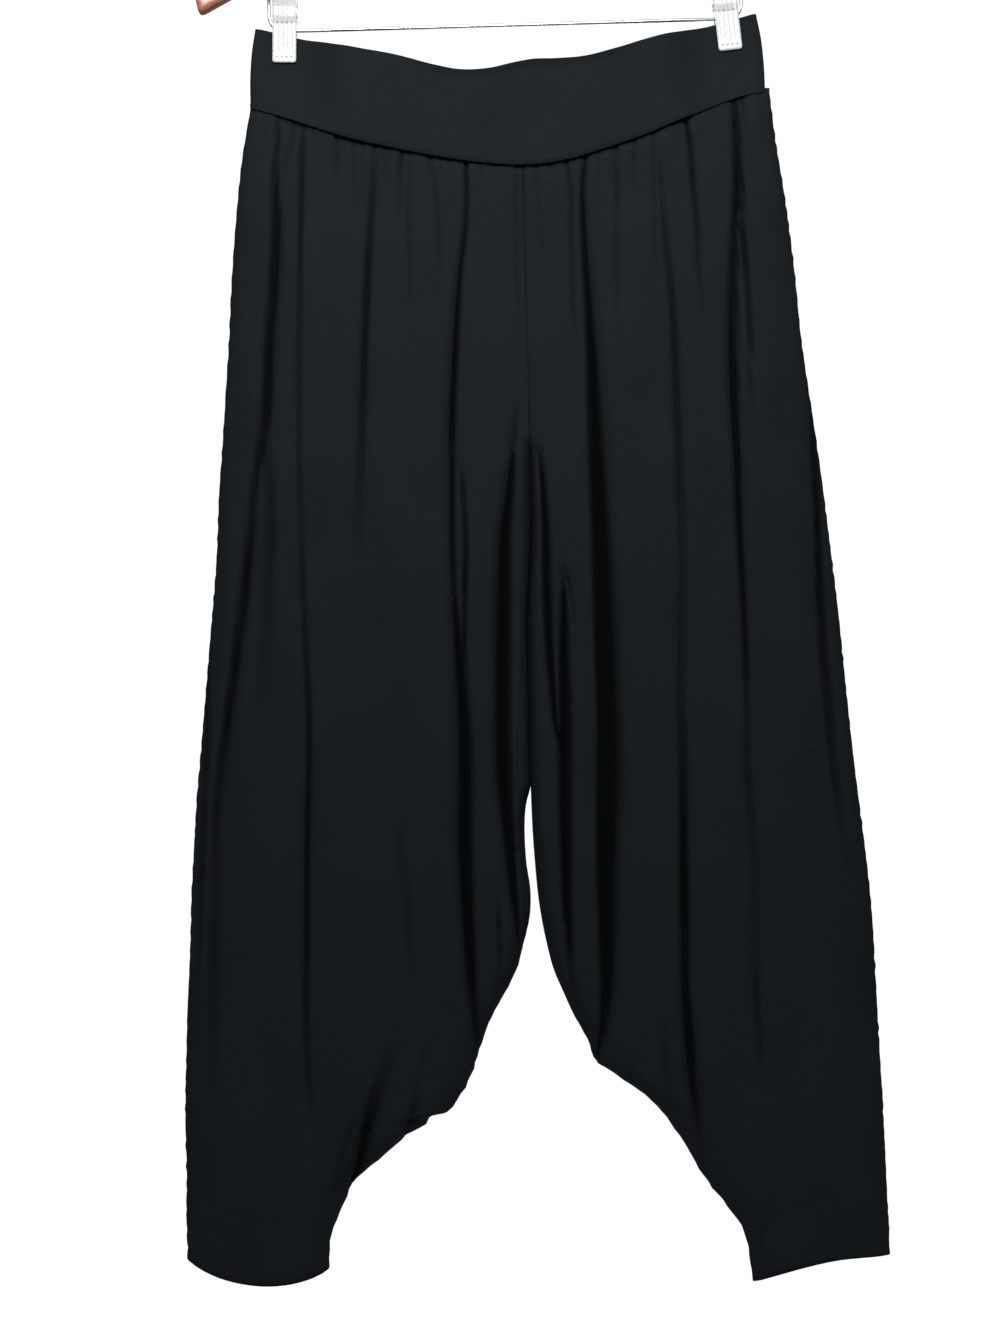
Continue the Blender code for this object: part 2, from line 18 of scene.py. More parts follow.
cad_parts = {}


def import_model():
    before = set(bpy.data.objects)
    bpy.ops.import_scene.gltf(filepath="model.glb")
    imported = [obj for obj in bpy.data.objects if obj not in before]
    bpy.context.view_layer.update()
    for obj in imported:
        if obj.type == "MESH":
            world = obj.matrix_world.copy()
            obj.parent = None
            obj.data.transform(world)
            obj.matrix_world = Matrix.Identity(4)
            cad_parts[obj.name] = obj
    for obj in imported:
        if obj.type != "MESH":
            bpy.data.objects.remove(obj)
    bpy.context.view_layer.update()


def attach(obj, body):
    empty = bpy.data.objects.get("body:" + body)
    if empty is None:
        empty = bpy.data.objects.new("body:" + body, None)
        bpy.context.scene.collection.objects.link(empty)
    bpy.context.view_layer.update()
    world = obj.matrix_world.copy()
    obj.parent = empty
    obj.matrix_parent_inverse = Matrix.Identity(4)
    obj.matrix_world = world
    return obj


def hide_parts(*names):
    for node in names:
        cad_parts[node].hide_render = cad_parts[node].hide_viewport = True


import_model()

bl_info = {
    "name": "Harem pants on a clip hanger",
    "version": (1, 0, 0),
    "blender": (4, 5, 0),
    "location": "3D View > Sidebar > Harem pants",
    "description": "Makes jersey harem pants with their waistband, hems, clips and hanger",
    "category": "Object",
}

MM = 0.001
SIDES = ("right", "left")
FACES = ("front", "back")


def table(kind, rows):
    """Rows of numbers as rows with named columns."""
    return [kind(*row) for row in rows]


# The frame of the garment
BAR_DROP = 220.0        # from the hook's crown down to the level that drops are measured from
BAR_LIFT = 1.5
CLIP_X = 159.0
CLIP_LEAN = {"right": 2.0, "left": 5.0}

# The waistband's upper edge, from the wearer's right to left: drop of the front and of the back
EdgeRow = namedtuple("EdgeRow", "x front back")
BAND_TOP = table(EdgeRow, [
    (-186, -3.4, -3.0), (-181, -3.0, -2.5), (-149, 4.8, 5.5), (-135, 8.2, 8.8), (-120, 12.8, 13.4),
    (-104, 16.4, 17.0), (-73, 22.8, 23.5), (-51, 29.0, 29.6), (-35, 32.6, 33.2), (-13, 32.3, 33.0),
    (6, 28.4, 30.0), (19, 26.5, 28.5), (34, 26.5, 28.0), (56, 25.3, 26.5), (78, 20.6, 21.8),
    (95, 16.4, 17.5), (120, 10.6, 11.6), (135, 6.8, 7.6), (150, 3.4, 4.2), (181, -4.0, -3.5),
    (186, -4.6, -4.0),
])

# The seam that joins the waistband to the legs, which dips to the centre
SeamRow = namedtuple("SeamRow", "x drop")
BAND_SEAM = table(SeamRow, [
    (-190, 53), (-162, 61.8), (-144, 68.6), (-118, 79), (-79, 89), (-42, 97), (-14, 101), (10, 103),
    (41, 100), (67, 93), (102, 81.8), (130, 70.2), (158, 59), (172, 54.8), (190, 53),
])
BandRow = namedtuple("BandRow", "down half_width")
BAND_SIDES = table(BandRow, [(0.0, 181), (0.3, 184), (0.6, 185.5), (1.0, 186)])
BAND_DEPTH = 13.0
BAND_ROUND = 40.0

# Each leg laid flat, a row for each section: its outer and inner edge. The inner edge is the centre
# seam down to the crotch, and the fold of the inner leg below it.
LegRow = namedtuple("LegRow", "outer_x outer_drop inner_x inner_drop")
RIGHT_LEG = table(LegRow, [
    (186, 54, -9, 103), (192, 85, -9, 128), (198, 130, -9, 170), (204, 193, -9, 222),
    (205.5, 215, -9, 240), (209, 255, -9, 272), (213, 300, -9.2, 300), (215.5, 325, -9.0, 318),
    (219, 375, -8.3, 365), (225, 430, -4.2, 425), (231, 485, -3.4, 485), (236, 530, -2.8, 530),
    (238, 547, -2.8, 546), (239.3, 562, 0.8, 559), (242, 595, 2, 600), (244, 620, -0.5, 622),
    (245, 640, 0.5, 640), (246, 658, 5, 658), (247.5, 680, 11, 678), (249, 700, 20, 695),
    (250, 718, 30, 712), (251, 738, 39.5, 736), (252, 755, 46, 754), (252.5, 770, 55, 769),
    (253, 782, 65, 779.5), (253, 790, 73, 780), (253, 799, 80, 788), (253, 808, 92, 794),
    (253, 820, 106, 806), (253.5, 834, 124, 820), (254, 845, 134, 830), (254, 852, 138, 840),
    (254, 861, 144, 852), (254, 870, 150, 868), (254, 879, 151.5, 889),
])
LEFT_LEG = table(LegRow, [
    (189, 54, 9, 103), (192, 85, 9, 128), (198, 130, 9, 170), (204, 191, 9, 222), (206.5, 228, 9, 250),
    (209, 250, 9, 270), (214, 290, 8.9, 296), (218, 325, 8.7, 318), (223, 375, 8.1, 365),
    (228, 430, 4.0, 425), (232, 485, 3.2, 485), (236.5, 540, 2.6, 545), (242, 595, 3.8, 595),
    (245, 630, 6.5, 632), (246.5, 660, 11, 660), (247, 680, 15.5, 679), (247.5, 698, 21, 693),
    (248, 718, 30, 714), (248.5, 733, 39, 731), (248.7, 744, 42.5, 743), (249, 752, 48, 749),
    (249.3, 763, 63, 759), (250, 776, 76, 769), (250, 788, 87, 779), (250.3, 800, 95, 790),
    (250.6, 813, 105, 805), (251, 834, 118, 829), (251.5, 856, 135.5, 853), (252, 868, 145, 867),
    (252, 878, 149.5, 882), (252, 890, 152, 907),
])

# How full each section is: its depth from the middle plane, the length over which the outer and inner
# edges round off, and how far the inner edge is closed into a tube
DepthRow = namedtuple("DepthRow", "drop depth outer_round inner_round closed")
DEPTHS = table(DepthRow, [
    (54, 12.4, 40, 26, 0.0), (130, 13.5, 46, 22, 0.0), (255, 15.0, 52, 12, 0.0), (296, 15.5, 54, 9, 0.1),
    (312, 16.0, 54, 8, 1.0), (375, 16.5, 56, 8, 1.0), (540, 18.0, 58, 9, 1.0), (632, 17.8, 57, 13, 1.0),
    (700, 17.3, 54, 20, 1.0), (730, 17.0, 52, 24, 1.0), (803, 15.0, 42, 28, 1.0),
    (890, 12.0, 34, 30, 1.0),
])

# How far in from the inner edge the inseam lies on the front
RollRow = namedtuple("RollRow", "drop roll")
INSEAM_ROLL = {
    "right": table(RollRow, [
        (410, 0), (442, 2), (499, 8), (528, 9), (585, 6.5), (629, 4), (660, 0),
    ]),
    "left": table(RollRow, [
        (395, 0), (417, 4), (481, 14), (518, 18), (594, 21), (684, 9.5), (709, 5), (745, 0),
    ]),
}
HEM_DROOP = {
    ("right", "front"): 13.0,
    ("right", "back"): 9.0,
    ("left", "front"): -6.5,
    ("left", "back"): -9.0,
}
HEM_REACH = 70.0        # the droop fades out over this length above the hem
SEAM_REACH = 100.0      # and the dip of the waistband's seam fades out over this length below it
HEM_DEEP = 8.6          # from the hem's edge up to its stitching,
TWIN_LINES = 1.6        # whose two lines lie this far above and below that
CURL = 2.6              # a panel curls in over this length along its seams
SLIT_TOUCH = (284, 298, 545, 560)       # drops between which the legs touch along the slit,
SLIT_DARK = (306, 318, 550, 562)        # and between which shade is painted on it
LAYER_GAP = 0.25        # half of what is left between two layers pressed together
BEHIND_BAND = 2.5       # how far the legs' tops lie behind the waistband's face
TUCKED_UP = 4.0         # and how far up behind it they reach
CREASE_REACH = 1.3      # a crease's slope ends at this many of its stated widths
FOLD_FULL = 5.0         # the shade painted inside a fold is full at its bottom once the fold is this deep,
FOLD_DEEPEST = 14.0     # and one this deep is painted dark nearly up to its lips
GATHERED = (2, 184)     # the gathers lie between these places out from the centre
GATHER_LENGTHS = (9, 42)
GATHER_WIDTHS = (1.4, 2.6)
UNCHANGED = (900, 1000)                 # wave lengths too long to show on the part
DENT_REACH = 1.5        # a dent's slope ends at this many of its radii
TUCK_REACH = 9.0        # the legs' tops come out from behind the band over this length,
SHADE_REACH = 5.0       # its painted shadow lies on them over this one,
SHADE_DARK = 0.8        # this dark at most,
BACK_SHADE = (0.3, 0.4) # and on the back it is more even: this much, and this share of the front's
STIFF_TOP = 48.0        # the cloth's own unevenness grows over this length below the seam

# The puckers that a seam's thread draws: how high and how long they are, and how far in they reach
Pucker = namedtuple("Pucker", "height lengths reach")
SIDE_PUCKER = Pucker(0.16, (6, 17), 11)
INNER_PUCKER = Pucker(0.2, (6, 19), 12)
INNER_PUCKER_TOP = (280, 380)           # the centre seam above the slit lies flat
HEM_PUCKER = Pucker(0.1, (5, 16), 16)
BAND_PUCKER = Pucker(0.11, (7, 22), 16)
STITCH_SINK = 0.4       # how far the hem's stitching sinks the cloth

SEAM_GAP = 0.3          # what is left between two pieces at a seam
BAND_CLOSEST = 2.15     # where it is pinched, the band's face is this far from the middle
BAND_COLUMNS = 240
BAND_ROWS = 64
ROLL_BACK = 2.6         # how far the middle of the band's upper edge leans back on the front,
ROLL_BACK_BEHIND = 0.6  # and all of it on the back
ROLL_SPAN = (-95, -60, 80, 112)
ROLL_DEEP = 11.0        # from the band's edge down to where it leans no more
ROLL_SHADE = 0.35       # how dark the shade painted under the rolled edge is,
ROLL_SHADE_SPAN = (-75, -50, 70, 95)    # and where
BAND_EDGE = 0.7
BAND_SIDE = 12.0        # the side seams hold the band's ends flat over this length
SEAM_SINK = 0.7         # its lower edge is drawn in this far at the seam,
SEAM_SINK_REACH = 2.4   # over this length above it
HEM_LAYERS = 1.8        # the turned-up hem is this many times as thick
STITCH_GAP = 0.7
STITCH_THICK = 0.42

# What each piece was cut to: millimetres and square millimetres
Cut = namedtuple("Cut", "width length area")

# How far the legs tuck in under the waistband's seam along it, on the front, and how dark the shadow painted
# under it is
ShadeRow = namedtuple("ShadeRow", "x strength")
SEAM_SHADE = table(ShadeRow, [
    (-186, 0.0), (-164, 0.1), (-160, 1.0), (-146, 1.0), (-138, 0.45), (-127, 0.5), (-122, 0.8),
    (-108, 0.8), (-100, 0.5), (0, 0.45), (118, 0.5), (124, 0.85), (130, 0.75), (134, 0.1), (154, 0.1),
    (160, 0.9), (170, 0.9), (175, 0.1), (186, 0.0),
])

# Where the clips pinch the layers together
PINCH_FLAT = 12.5
PINCH_INWARD = 36.0
PINCH_OUTWARD = 9.0
PINCH_OUTSIDE = 0.35    # beyond the clips the layers open by only this share
PINCH_DROP = 24.0
PINCH_FADE = 95.0

# Creases: how far down and out each place on them lies, how deep they are there, and how wide their
# slopes towards the inner and the outer side are. A negative depth is a ridge. A sharp crease has a
# narrow bottom between rounded lobes, and one of sharp 0 is a soft trough.
Crease = namedtuple("Crease", "name sharp places")
CREASES = {
    ("right", "front"): [
        Crease("hip pleat", 0.7, [
            (62, 165, 3.5, 3.5, 4), (109, 168, 4.5, 4, 5), (138, 168, 7, 5, 6), (228, 175, 8, 5, 7),
            (279, 179, 7.5, 5, 8), (334, 190, 4, 6, 6), (369, 194, 5, 9, 5), (432, 203, 6, 9, 5),
            (486, 212, 5, 10, 6), (551, 222, 3.5, 10, 8), (622, 226, 2.4, 12, 9), (714, 230, 1.6, 14, 10),
            (780, 231, 0, 14, 10)]),
        Crease("branch of the hip pleat", 0.2, [
            (290, 180, 0, 6, 6), (324, 178, 2.8, 7, 7), (412, 182, 2.2, 9, 9), (462, 186, 1.2, 10, 10),
            (530, 188, 0, 10, 10)]),
        Crease("gather by the hip pleat", 0.6, [
            (64, 154, 2.6, 2.5, 2.5), (81, 157, 3.4, 3.2, 3), (99, 160, 1.6, 3, 3), (125, 161, 0, 3, 3)]),
        Crease("outer thigh crease", 0.7, [
            (66, 147, 3.4, 2.5, 3), (157, 151, 3.4, 3, 3.5), (205, 153, 2.4, 3.5, 4), (295, 156, 2.2, 4, 4),
            (350, 156, 2.4, 4, 4), (440, 155, 3.2, 4, 4), (488, 154, 4, 4, 4.5), (590, 158, 4.6, 4, 5),
            (656, 160, 4.4, 4, 5), (709, 162, 3.4, 4, 5), (756, 161, 2, 4, 5), (790, 159, 0, 4, 4)]),
        Crease("middle crease", 0.5, [
            (80, 96, 1.4, 3, 3), (100, 97, 1.8, 3, 3), (171, 103, 3.8, 4, 4), (230, 107, 4.2, 4, 5),
            (276, 110, 3.2, 5, 6), (311, 112, 2.6, 6, 8), (350, 115, 1.6, 8, 9), (400, 116, 0, 9, 9)]),
        Crease("short gather", 0.5, [(75, 123, 1.6, 2.5, 2.5), (94, 124, 1.7, 3, 3), (115, 125, 0, 3, 3)]),
        Crease("short gather", 0.4, [(79, 111, 1.2, 2, 2.5), (111, 111, 1, 2.5, 2.5), (142, 111, 0, 3, 3)]),
        Crease("short gather", 0.4, [(84, 89, 1.6, 2, 2.5), (102, 89, 1.2, 2.5, 2.5), (122, 89, 0, 3, 3)]),
        Crease("short gather", 0.5, [
            (87, 76, 2.6, 2.5, 3), (98, 77.5, 2.2, 3, 4), (112, 79, 1.3, 4, 4), (150, 81, 0, 5, 4)]),
        Crease("short gather", 0.5, [
            (90, 71, 1.1, 2, 2), (135, 73, 1.3, 3, 2.2), (172, 74, 1, 3, 2.5), (235, 75, 0, 3, 3)]),
        Crease("short gather", 0.5, [
            (91, 57, 1.6, 2.5, 2), (127, 53, 1.5, 3, 2.5), (165, 52, 1, 3, 3), (205, 51, 0, 3, 3)]),
        Crease("inner thigh pleat", 0.8, [
            (94, 31, 3.6, 2.5, 3), (137, 32, 3.6, 2.5, 3.5), (184, 38, 5, 3, 5), (231, 42, 6, 3.2, 6),
            (290, 46, 6.4, 3.5, 7), (323, 47, 5, 3.5, 7), (403, 48, 4.5, 3.5, 7), (441, 46, 7.5, 5, 8),
            (504, 43, 11.5, 6, 9), (593, 44.5, 12.5, 6, 10), (659, 44, 11, 6, 8), (692, 43, 8, 5, 7),
            (733, 40.5, 3, 4, 4), (748, 40, 0, 3, 3)]),
        Crease("twin of the inner thigh pleat", 0.7, [
            (312, 41, 0, 2.5, 3), (330, 40, 3, 3, 3.5), (378, 39, 4.2, 3.5, 3.5), (404, 40.5, 5, 3.5, 4),
            (441, 42, 4.5, 3.5, 4), (480, 44, 0, 4, 4)]),
        Crease("crotch pleat", 0.7, [
            (270, 0, 0, 3, 3), (283, 1, 1.4, 3, 4), (312, 3.5, 4.5, 3, 6), (337, 6, 8, 3.5, 8),
            (366, 9.5, 11, 4, 9), (404, 11, 13.5, 4.5, 10), (460, 13, 14.5, 4.5, 11),
            (539, 14.5, 14.5, 4.5, 11), (561, 14, 13.5, 4.5, 9), (594, 12.5, 11, 4, 8), (627, 11, 8, 4, 6),
            (654, 9, 4, 3, 4), (668, 9, 0, 3, 3)]),
        Crease("knee dimple", 0.3, [
            (556, 93, 0, 6, 6), (600, 90, 1.6, 6, 6), (635, 88, 1.6, 6, 6), (658, 87, 1, 6, 6),
            (695, 86, 0, 6, 6)]),
        Crease("bag fold", 0.25, [
            (722, 99, 0, 11, 10), (745, 108, 1.6, 12, 9), (767, 116, 3, 12, 6), (790, 123, 5.5, 10, 4.5),
            (810, 128, 7, 8, 3.5), (826, 133, 6.5, 6, 3), (845, 139, 4, 4, 3), (856, 143, 0, 4, 3)]),
        Crease("roll beside the bag fold", 0.0, [
            (750, 116, 0, 4, 5), (775, 126, -2, 4, 5), (797, 131.5, -2.6, 4, 5), (823, 138.5, -2.6, 4, 5),
            (850, 148, -1.5, 4, 5), (872, 153, 0, 4, 5)]),
        Crease("line beyond the roll", 0.5, [
            (760, 121, 0, 3, 3), (778, 129, 1.2, 3, 3.5), (803, 139, 1.8, 3, 4), (829, 146, 1.5, 3, 4),
            (856, 153, 0, 3, 4)]),
        Crease("upper roll of the bag", 0.0, [
            (700, 73, 0, 5, 5), (725, 78, -1.2, 5, 6), (738, 83, -1.8, 5, 6), (771, 93, -2.2, 5, 6),
            (797, 104, -1.8, 5, 6), (812, 111, 0, 5, 6)]),
        Crease("dent under the upper roll", 0.3, [
            (762, 85, 0, 4, 3), (776, 88, 2.4, 5, 3.5), (786, 91, 3.2, 5, 3.5), (798, 96, 0, 4, 3)]),
        Crease("short crease above the bag", 0.6, [
            (622, 23, 0, 2, 2), (640, 23, 3, 2.5, 2.5), (672, 23, 2.4, 2.5, 2.5), (692, 23, 0, 2, 2)]),
        Crease("side ledge", 0.6, [
            (372, 220, 0, 3, 5), (409, 223, 2.4, 2.5, 7), (523, 228.5, 3, 2.5, 8),
            (593, 233.5, 2.6, 2.5, 8), (654, 237.5, 1.8, 2.5, 7), (715, 241, 0, 3, 6)]),
        Crease("beside the centre seam", 0.4, [
            (99, -5, 1, 2, 2), (114, -4, 1.3, 2.5, 2.5), (197, -3, 0.9, 3, 3), (240, -3, 0, 3, 3)]),
        Crease("outer edge swell", 0.0, [
            (300, 206, 0, 9, 9), (380, 209, -1.8, 9, 8), (470, 218, -2, 9, 7), (560, 227, -1.6, 8, 6),
            (660, 232, 0, 8, 6)]),
    ],
    ("left", "front"): [
        Crease("beside the centre seam", 0.4, [
            (98, 19, 1, 2.5, 2.5), (162, 21, 0.9, 3, 3), (205, 22, 0, 3, 3)]),
        Crease("gather by the thigh pleat", 0.5, [
            (95, 40, 1.9, 3, 2.5), (120, 43, 1.9, 3.5, 2.5), (163, 43, 1.8, 4, 2.5), (210, 43, 1.2, 4, 2.5),
            (245, 43, 0, 4, 3)]),
        Crease("deep thigh pleat", 0.8, [
            (92, 55, 3.4, 2.5, 3), (115, 52, 4, 2.5, 4), (163, 51.5, 5.5, 3, 6), (199, 52.5, 7, 3.2, 8),
            (246, 53.5, 9.5, 3.5, 11), (306, 53, 12, 3.5, 15), (356, 53.5, 13.2, 3.5, 17),
            (406, 53.5, 14, 3.5, 19), (456, 53.5, 14.5, 3.5, 21), (506, 53.5, 14.8, 3.5, 22),
            (541, 52.5, 14.6, 3.5, 22), (596, 50.5, 14, 3.5, 20), (662, 50.5, 13, 3.5, 16),
            (695, 50.5, 11, 3.5, 12), (728, 47.5, 6.5, 3.5, 7), (743, 44, 3, 3, 4), (756, 42, 0, 3, 3)]),
        Crease("short gather", 0.4, [
            (83, 75, 1.4, 2.5, 3), (107, 76, 1.6, 2.5, 3), (140, 75, 1.5, 3, 3), (176, 74, 1.2, 3, 3.5),
            (245, 73, 0, 3, 4)]),
        Crease("short gather", 0.5, [(78, 90, 2, 2.2, 2.2), (100, 89, 1.6, 2.5, 2.5), (132, 88, 0, 3, 3)]),
        Crease("short gather", 0.5, [
            (72, 103, 1.8, 2.2, 2.2), (117, 103, 1.2, 2.5, 2.5), (164, 102, 0.8, 3, 3),
            (188, 102, 0, 3, 3)]),
        Crease("middle crease", 0.5, [
            (92, 106, 0, 2.5, 2.5), (107, 107, 1.3, 3, 3), (146, 109, 2, 3.5, 3.5), (201, 113, 3, 4, 4),
            (236, 114, 3.4, 4, 5), (270, 114, 3.4, 4, 6), (345, 115, 2.4, 7, 8), (383, 115, 2.2, 7, 8),
            (432, 114, 2.4, 7, 8), (483, 111, 2.4, 7, 8), (520, 111, 3.4, 5, 8), (581, 110, 5.2, 4.5, 8),
            (624, 109, 6.8, 5, 8), (647, 109, 6, 5, 8), (690, 108, 5.4, 5, 8), (730, 110, 6.8, 6, 8),
            (764, 112, 6, 5, 7), (790, 115, 3.4, 4, 5), (806, 116, 1.2, 3, 3), (820, 117, 0, 3, 3)]),
        Crease("gather by the hip pleat", 0.6, [
            (63, 124, 4, 2.5, 3), (70, 126, 4.6, 3, 4), (89, 129, 4, 3, 4.5), (117, 130, 3.4, 3, 4.5),
            (146, 132, 2.8, 3, 4.5), (185, 133, 1.5, 3.5, 4), (208, 135, 0.9, 4, 4), (238, 136, 0, 4, 4)]),
        Crease("hip pleat", 0.7, [
            (52, 163, 5.5, 3.5, 4), (83, 163, 8, 4, 4.5), (118, 163, 8, 4.5, 5), (166, 159, 6.5, 5, 5),
            (213, 156, 6.5, 6, 7), (271, 155, 6.5, 6, 8), (321, 156, 6, 5, 7), (359, 156, 5.5, 4.5, 6),
            (404, 157, 5, 4, 6), (454, 158, 4.4, 4, 6), (484, 158, 3.4, 4, 6), (544, 157, 2.6, 6, 8),
            (599, 160, 2, 8, 9), (665, 159, 1.8, 7, 9), (715, 159, 2.6, 4, 6), (740, 160, 1.6, 4, 6),
            (768, 160, 0, 4, 5)]),
        Crease("branch of the hip pleat", 0.7, [
            (105, 163, 0, 2.5, 2.5), (130, 164.5, 4.4, 3, 3), (142, 165, 5, 3, 3.2),
            (190, 166, 4.4, 3, 3.5), (226, 168, 3.2, 3.5, 3.5), (261, 168, 2, 3.5, 4),
            (295, 169, 0, 4, 4)]),
        Crease("outermost gather", 0.6, [
            (54, 168, 2.4, 2.2, 2.2), (62, 169, 2.8, 2.5, 2.5), (84, 171, 1.3, 2.5, 2.5),
            (98, 172, 0, 3, 3)]),
        Crease("side ledge", 0.6, [
            (232, 207, 0, 2.5, 4), (267, 210, 3, 2.2, 7), (311, 211, 4.4, 2.4, 9), (360, 212, 5, 2.6, 11),
            (401, 212, 5, 2.6, 12), (448, 212.5, 4.6, 2.6, 13), (486, 215, 3.8, 2.6, 13),
            (531, 218, 3, 2.8, 12), (577, 223, 1.8, 3, 10), (625, 229, 0, 3, 8)]),
        Crease("slit pleat", 0.6, [
            (298, 14, 0, 2.5, 3), (312, 15.5, 3.5, 3, 3.5), (338, 17.5, 7, 3.5, 4),
            (367, 18, 9.5, 3.5, 4.5), (405, 17.5, 10.5, 3.5, 5), (443, 18, 10, 3.5, 5),
            (480, 20, 9, 3.5, 4), (506, 22, 7, 3.5, 4), (522, 25, 4, 3, 4), (536, 27, 0, 3, 3)]),
        Crease("crotch pleat", 0.5, [
            (386, 29.5, 0, 2.5, 2.5), (396, 30, 2.4, 2.5, 2.5), (418, 30, 7, 4, 3.5), (455, 29, 12, 5, 4),
            (481, 29, 14, 6, 4.5), (540, 27.5, 14.5, 6, 4.5), (595, 26.5, 13, 5, 4.5), (628, 26, 10, 4, 4),
            (655, 27, 6, 3.5, 3.5), (675, 27, 3, 3, 3), (692, 28, 0, 3, 3)]),
        Crease("branch of the crotch pleat", 0.5, [
            (390, 33, 0, 2, 2), (398, 33, 2.6, 2.5, 2.5), (415, 35, 2.2, 2.5, 2.5),
            (440, 37, 0, 2.5, 2.5)]),
        Crease("rib between the pleats", 0.0, [
            (240, 42, 0, 9, 8), (330, 42, -1.8, 9, 8), (460, 41.5, -2.4, 9, 8), (600, 39, -2.2, 9, 8),
            (700, 38, 0, 9, 8)]),
        Crease("line at the knee", 0.2, [
            (712, 92, 0, 3.5, 3.5), (738, 93, 1.6, 3.5, 3.5), (764, 94, 1.4, 3.5, 3.5),
            (783, 95, 0, 3.5, 3.5)]),
        Crease("line above the hem", 0.5, [
            (842, 164, 0, 2.5, 3), (855, 162, 1.2, 2.5, 3), (881, 158, 1.5, 2.5, 3.5),
            (896, 156, 0, 3, 3)]),
    ],
    ("right", "back"): [
        Crease("hip pleat", 0.7, [
            (56, 160, 4.5, 3.5, 4), (120, 162, 6.5, 4, 5), (210, 168, 6.5, 5, 6), (300, 173, 5.5, 5, 7),
            (400, 181, 4, 6, 7), (520, 191, 2, 8, 8), (600, 196, 0, 8, 8)]),
        Crease("short gather", 0.5, [(62, 138, 3, 3, 3), (110, 141, 2.2, 3, 3), (190, 145, 0, 4, 4)]),
        Crease("middle crease", 0.6, [
            (70, 116, 3, 3, 3), (160, 119, 4, 4, 4), (300, 124, 4.6, 5, 5), (430, 129, 3.6, 5, 6),
            (560, 131, 4, 5, 6), (680, 132, 2, 6, 6), (740, 132, 0, 6, 6)]),
        Crease("faint crease", 0.3, [
            (78, 86, 1.8, 3, 3), (200, 90, 2, 5, 5), (420, 98, 1.6, 6, 6), (560, 102, 0, 6, 6)]),
        Crease("deep thigh pleat", 0.7, [
            (88, 58, 3.4, 3, 3), (180, 60, 6, 5, 4), (300, 64, 9, 9, 5), (430, 68, 11, 12, 5),
            (560, 70, 10.5, 12, 5), (660, 71, 7, 9, 5), (735, 72, 0, 5, 4)]),
        Crease("crotch pleat", 0.6, [
            (260, 14, 0, 3, 3), (320, 17, 5, 4, 4), (400, 22, 8.5, 5, 6), (520, 28, 9.5, 5, 7),
            (620, 30, 6.5, 5, 5), (680, 31, 0, 4, 4)]),
        Crease("inner crease", 0.5, [
            (94, 34, 2.2, 3, 3), (170, 36, 2.6, 3, 3), (260, 39, 1.6, 4, 4), (330, 42, 0, 4, 4)]),
        Crease("bag fold", 0.4, [
            (700, 92, 0, 6, 6), (750, 104, 4, 8, 6), (790, 118, 5, 8, 5), (830, 136, 3, 5, 4),
            (850, 144, 0, 4, 4)]),
    ],
    ("left", "back"): [
        Crease("hip pleat", 0.7, [
            (56, 150, 5, 3.5, 4), (120, 152, 7, 4, 5), (210, 155, 6.5, 5, 6), (300, 158, 5.5, 5, 7),
            (430, 163, 4.2, 6, 7), (560, 168, 3, 8, 8), (700, 172, 0, 8, 8)]),
        Crease("short gather", 0.5, [(62, 124, 3, 3, 3), (110, 127, 2.2, 3, 3), (200, 131, 0, 4, 4)]),
        Crease("middle crease", 0.6, [
            (74, 98, 3, 3, 3), (160, 101, 4, 4, 4), (300, 106, 4.4, 5, 5), (430, 112, 3, 6, 6),
            (560, 116, 0, 6, 6)]),
        Crease("faint crease", 0.3, [
            (82, 72, 2, 3, 3), (230, 77, 2.2, 5, 5), (450, 85, 2, 6, 6), (660, 90, 0, 6, 6)]),
        Crease("deep thigh pleat", 0.7, [
            (92, 46, 3.2, 3, 3), (180, 49, 6.5, 4, 6), (300, 54, 9.5, 5, 10), (430, 58, 11, 5, 13),
            (560, 60, 10.5, 5, 12), (680, 60, 6, 5, 8), (748, 60, 0, 4, 5)]),
        Crease("crotch pleat", 0.6, [
            (280, 20, 0, 3, 3), (340, 22, 4.5, 4, 4), (430, 24, 8, 5, 5), (520, 27, 8.5, 5, 6),
            (620, 30, 5, 5, 5), (670, 31, 0, 4, 4)]),
        Crease("shin crease", 0.4, [
            (640, 108, 0, 5, 5), (700, 110, 3, 6, 6), (760, 114, 4, 6, 6), (806, 120, 2, 5, 5),
            (826, 124, 0, 4, 4)]),
    ],
}

# Small dents: where each lies, its depth and its radius
Dent = namedtuple("Dent", "out drop depth radius")
DENTS = {
    ("right", "front"): [
        Dent(237, 838, 1.0, 6), Dent(233, 858, 0.9, 6), Dent(70, 781, 1.6, 4), Dent(240, 800, 0.6, 8)],
    ("left", "front"): [
        Dent(31, 703, 1.8, 3.5), Dent(42, 699, 1.6, 3.5), Dent(37, 722, 1.8, 4), Dent(68, 752, 2.0, 6),
        Dent(82, 767, 1.8, 5), Dent(204, 846, 0.9, 7), Dent(60, 742, 1.0, 6)],
    ("right", "back"): [Dent(226, 846, 1.0, 7), Dent(60, 752, 1.4, 5)],
    ("left", "back"): [Dent(216, 852, 1.0, 7), Dent(58, 745, 1.5, 5)],
}

# A clip's jaw in side view: drop, and distance of its inner face from the middle
JawRow = namedtuple("JawRow", "drop inner")
JAW = table(JawRow, [
    (22.0, 0.0), (-6.0, 0.0), (-10.5, 1.6), (-17.5, 1.9), (-27.0, 5.4), (-38.0, 9.4),
])
JAW_INNER = 2.45
JAW_THICK = 1.8
JAW_WIDTH = 17.0

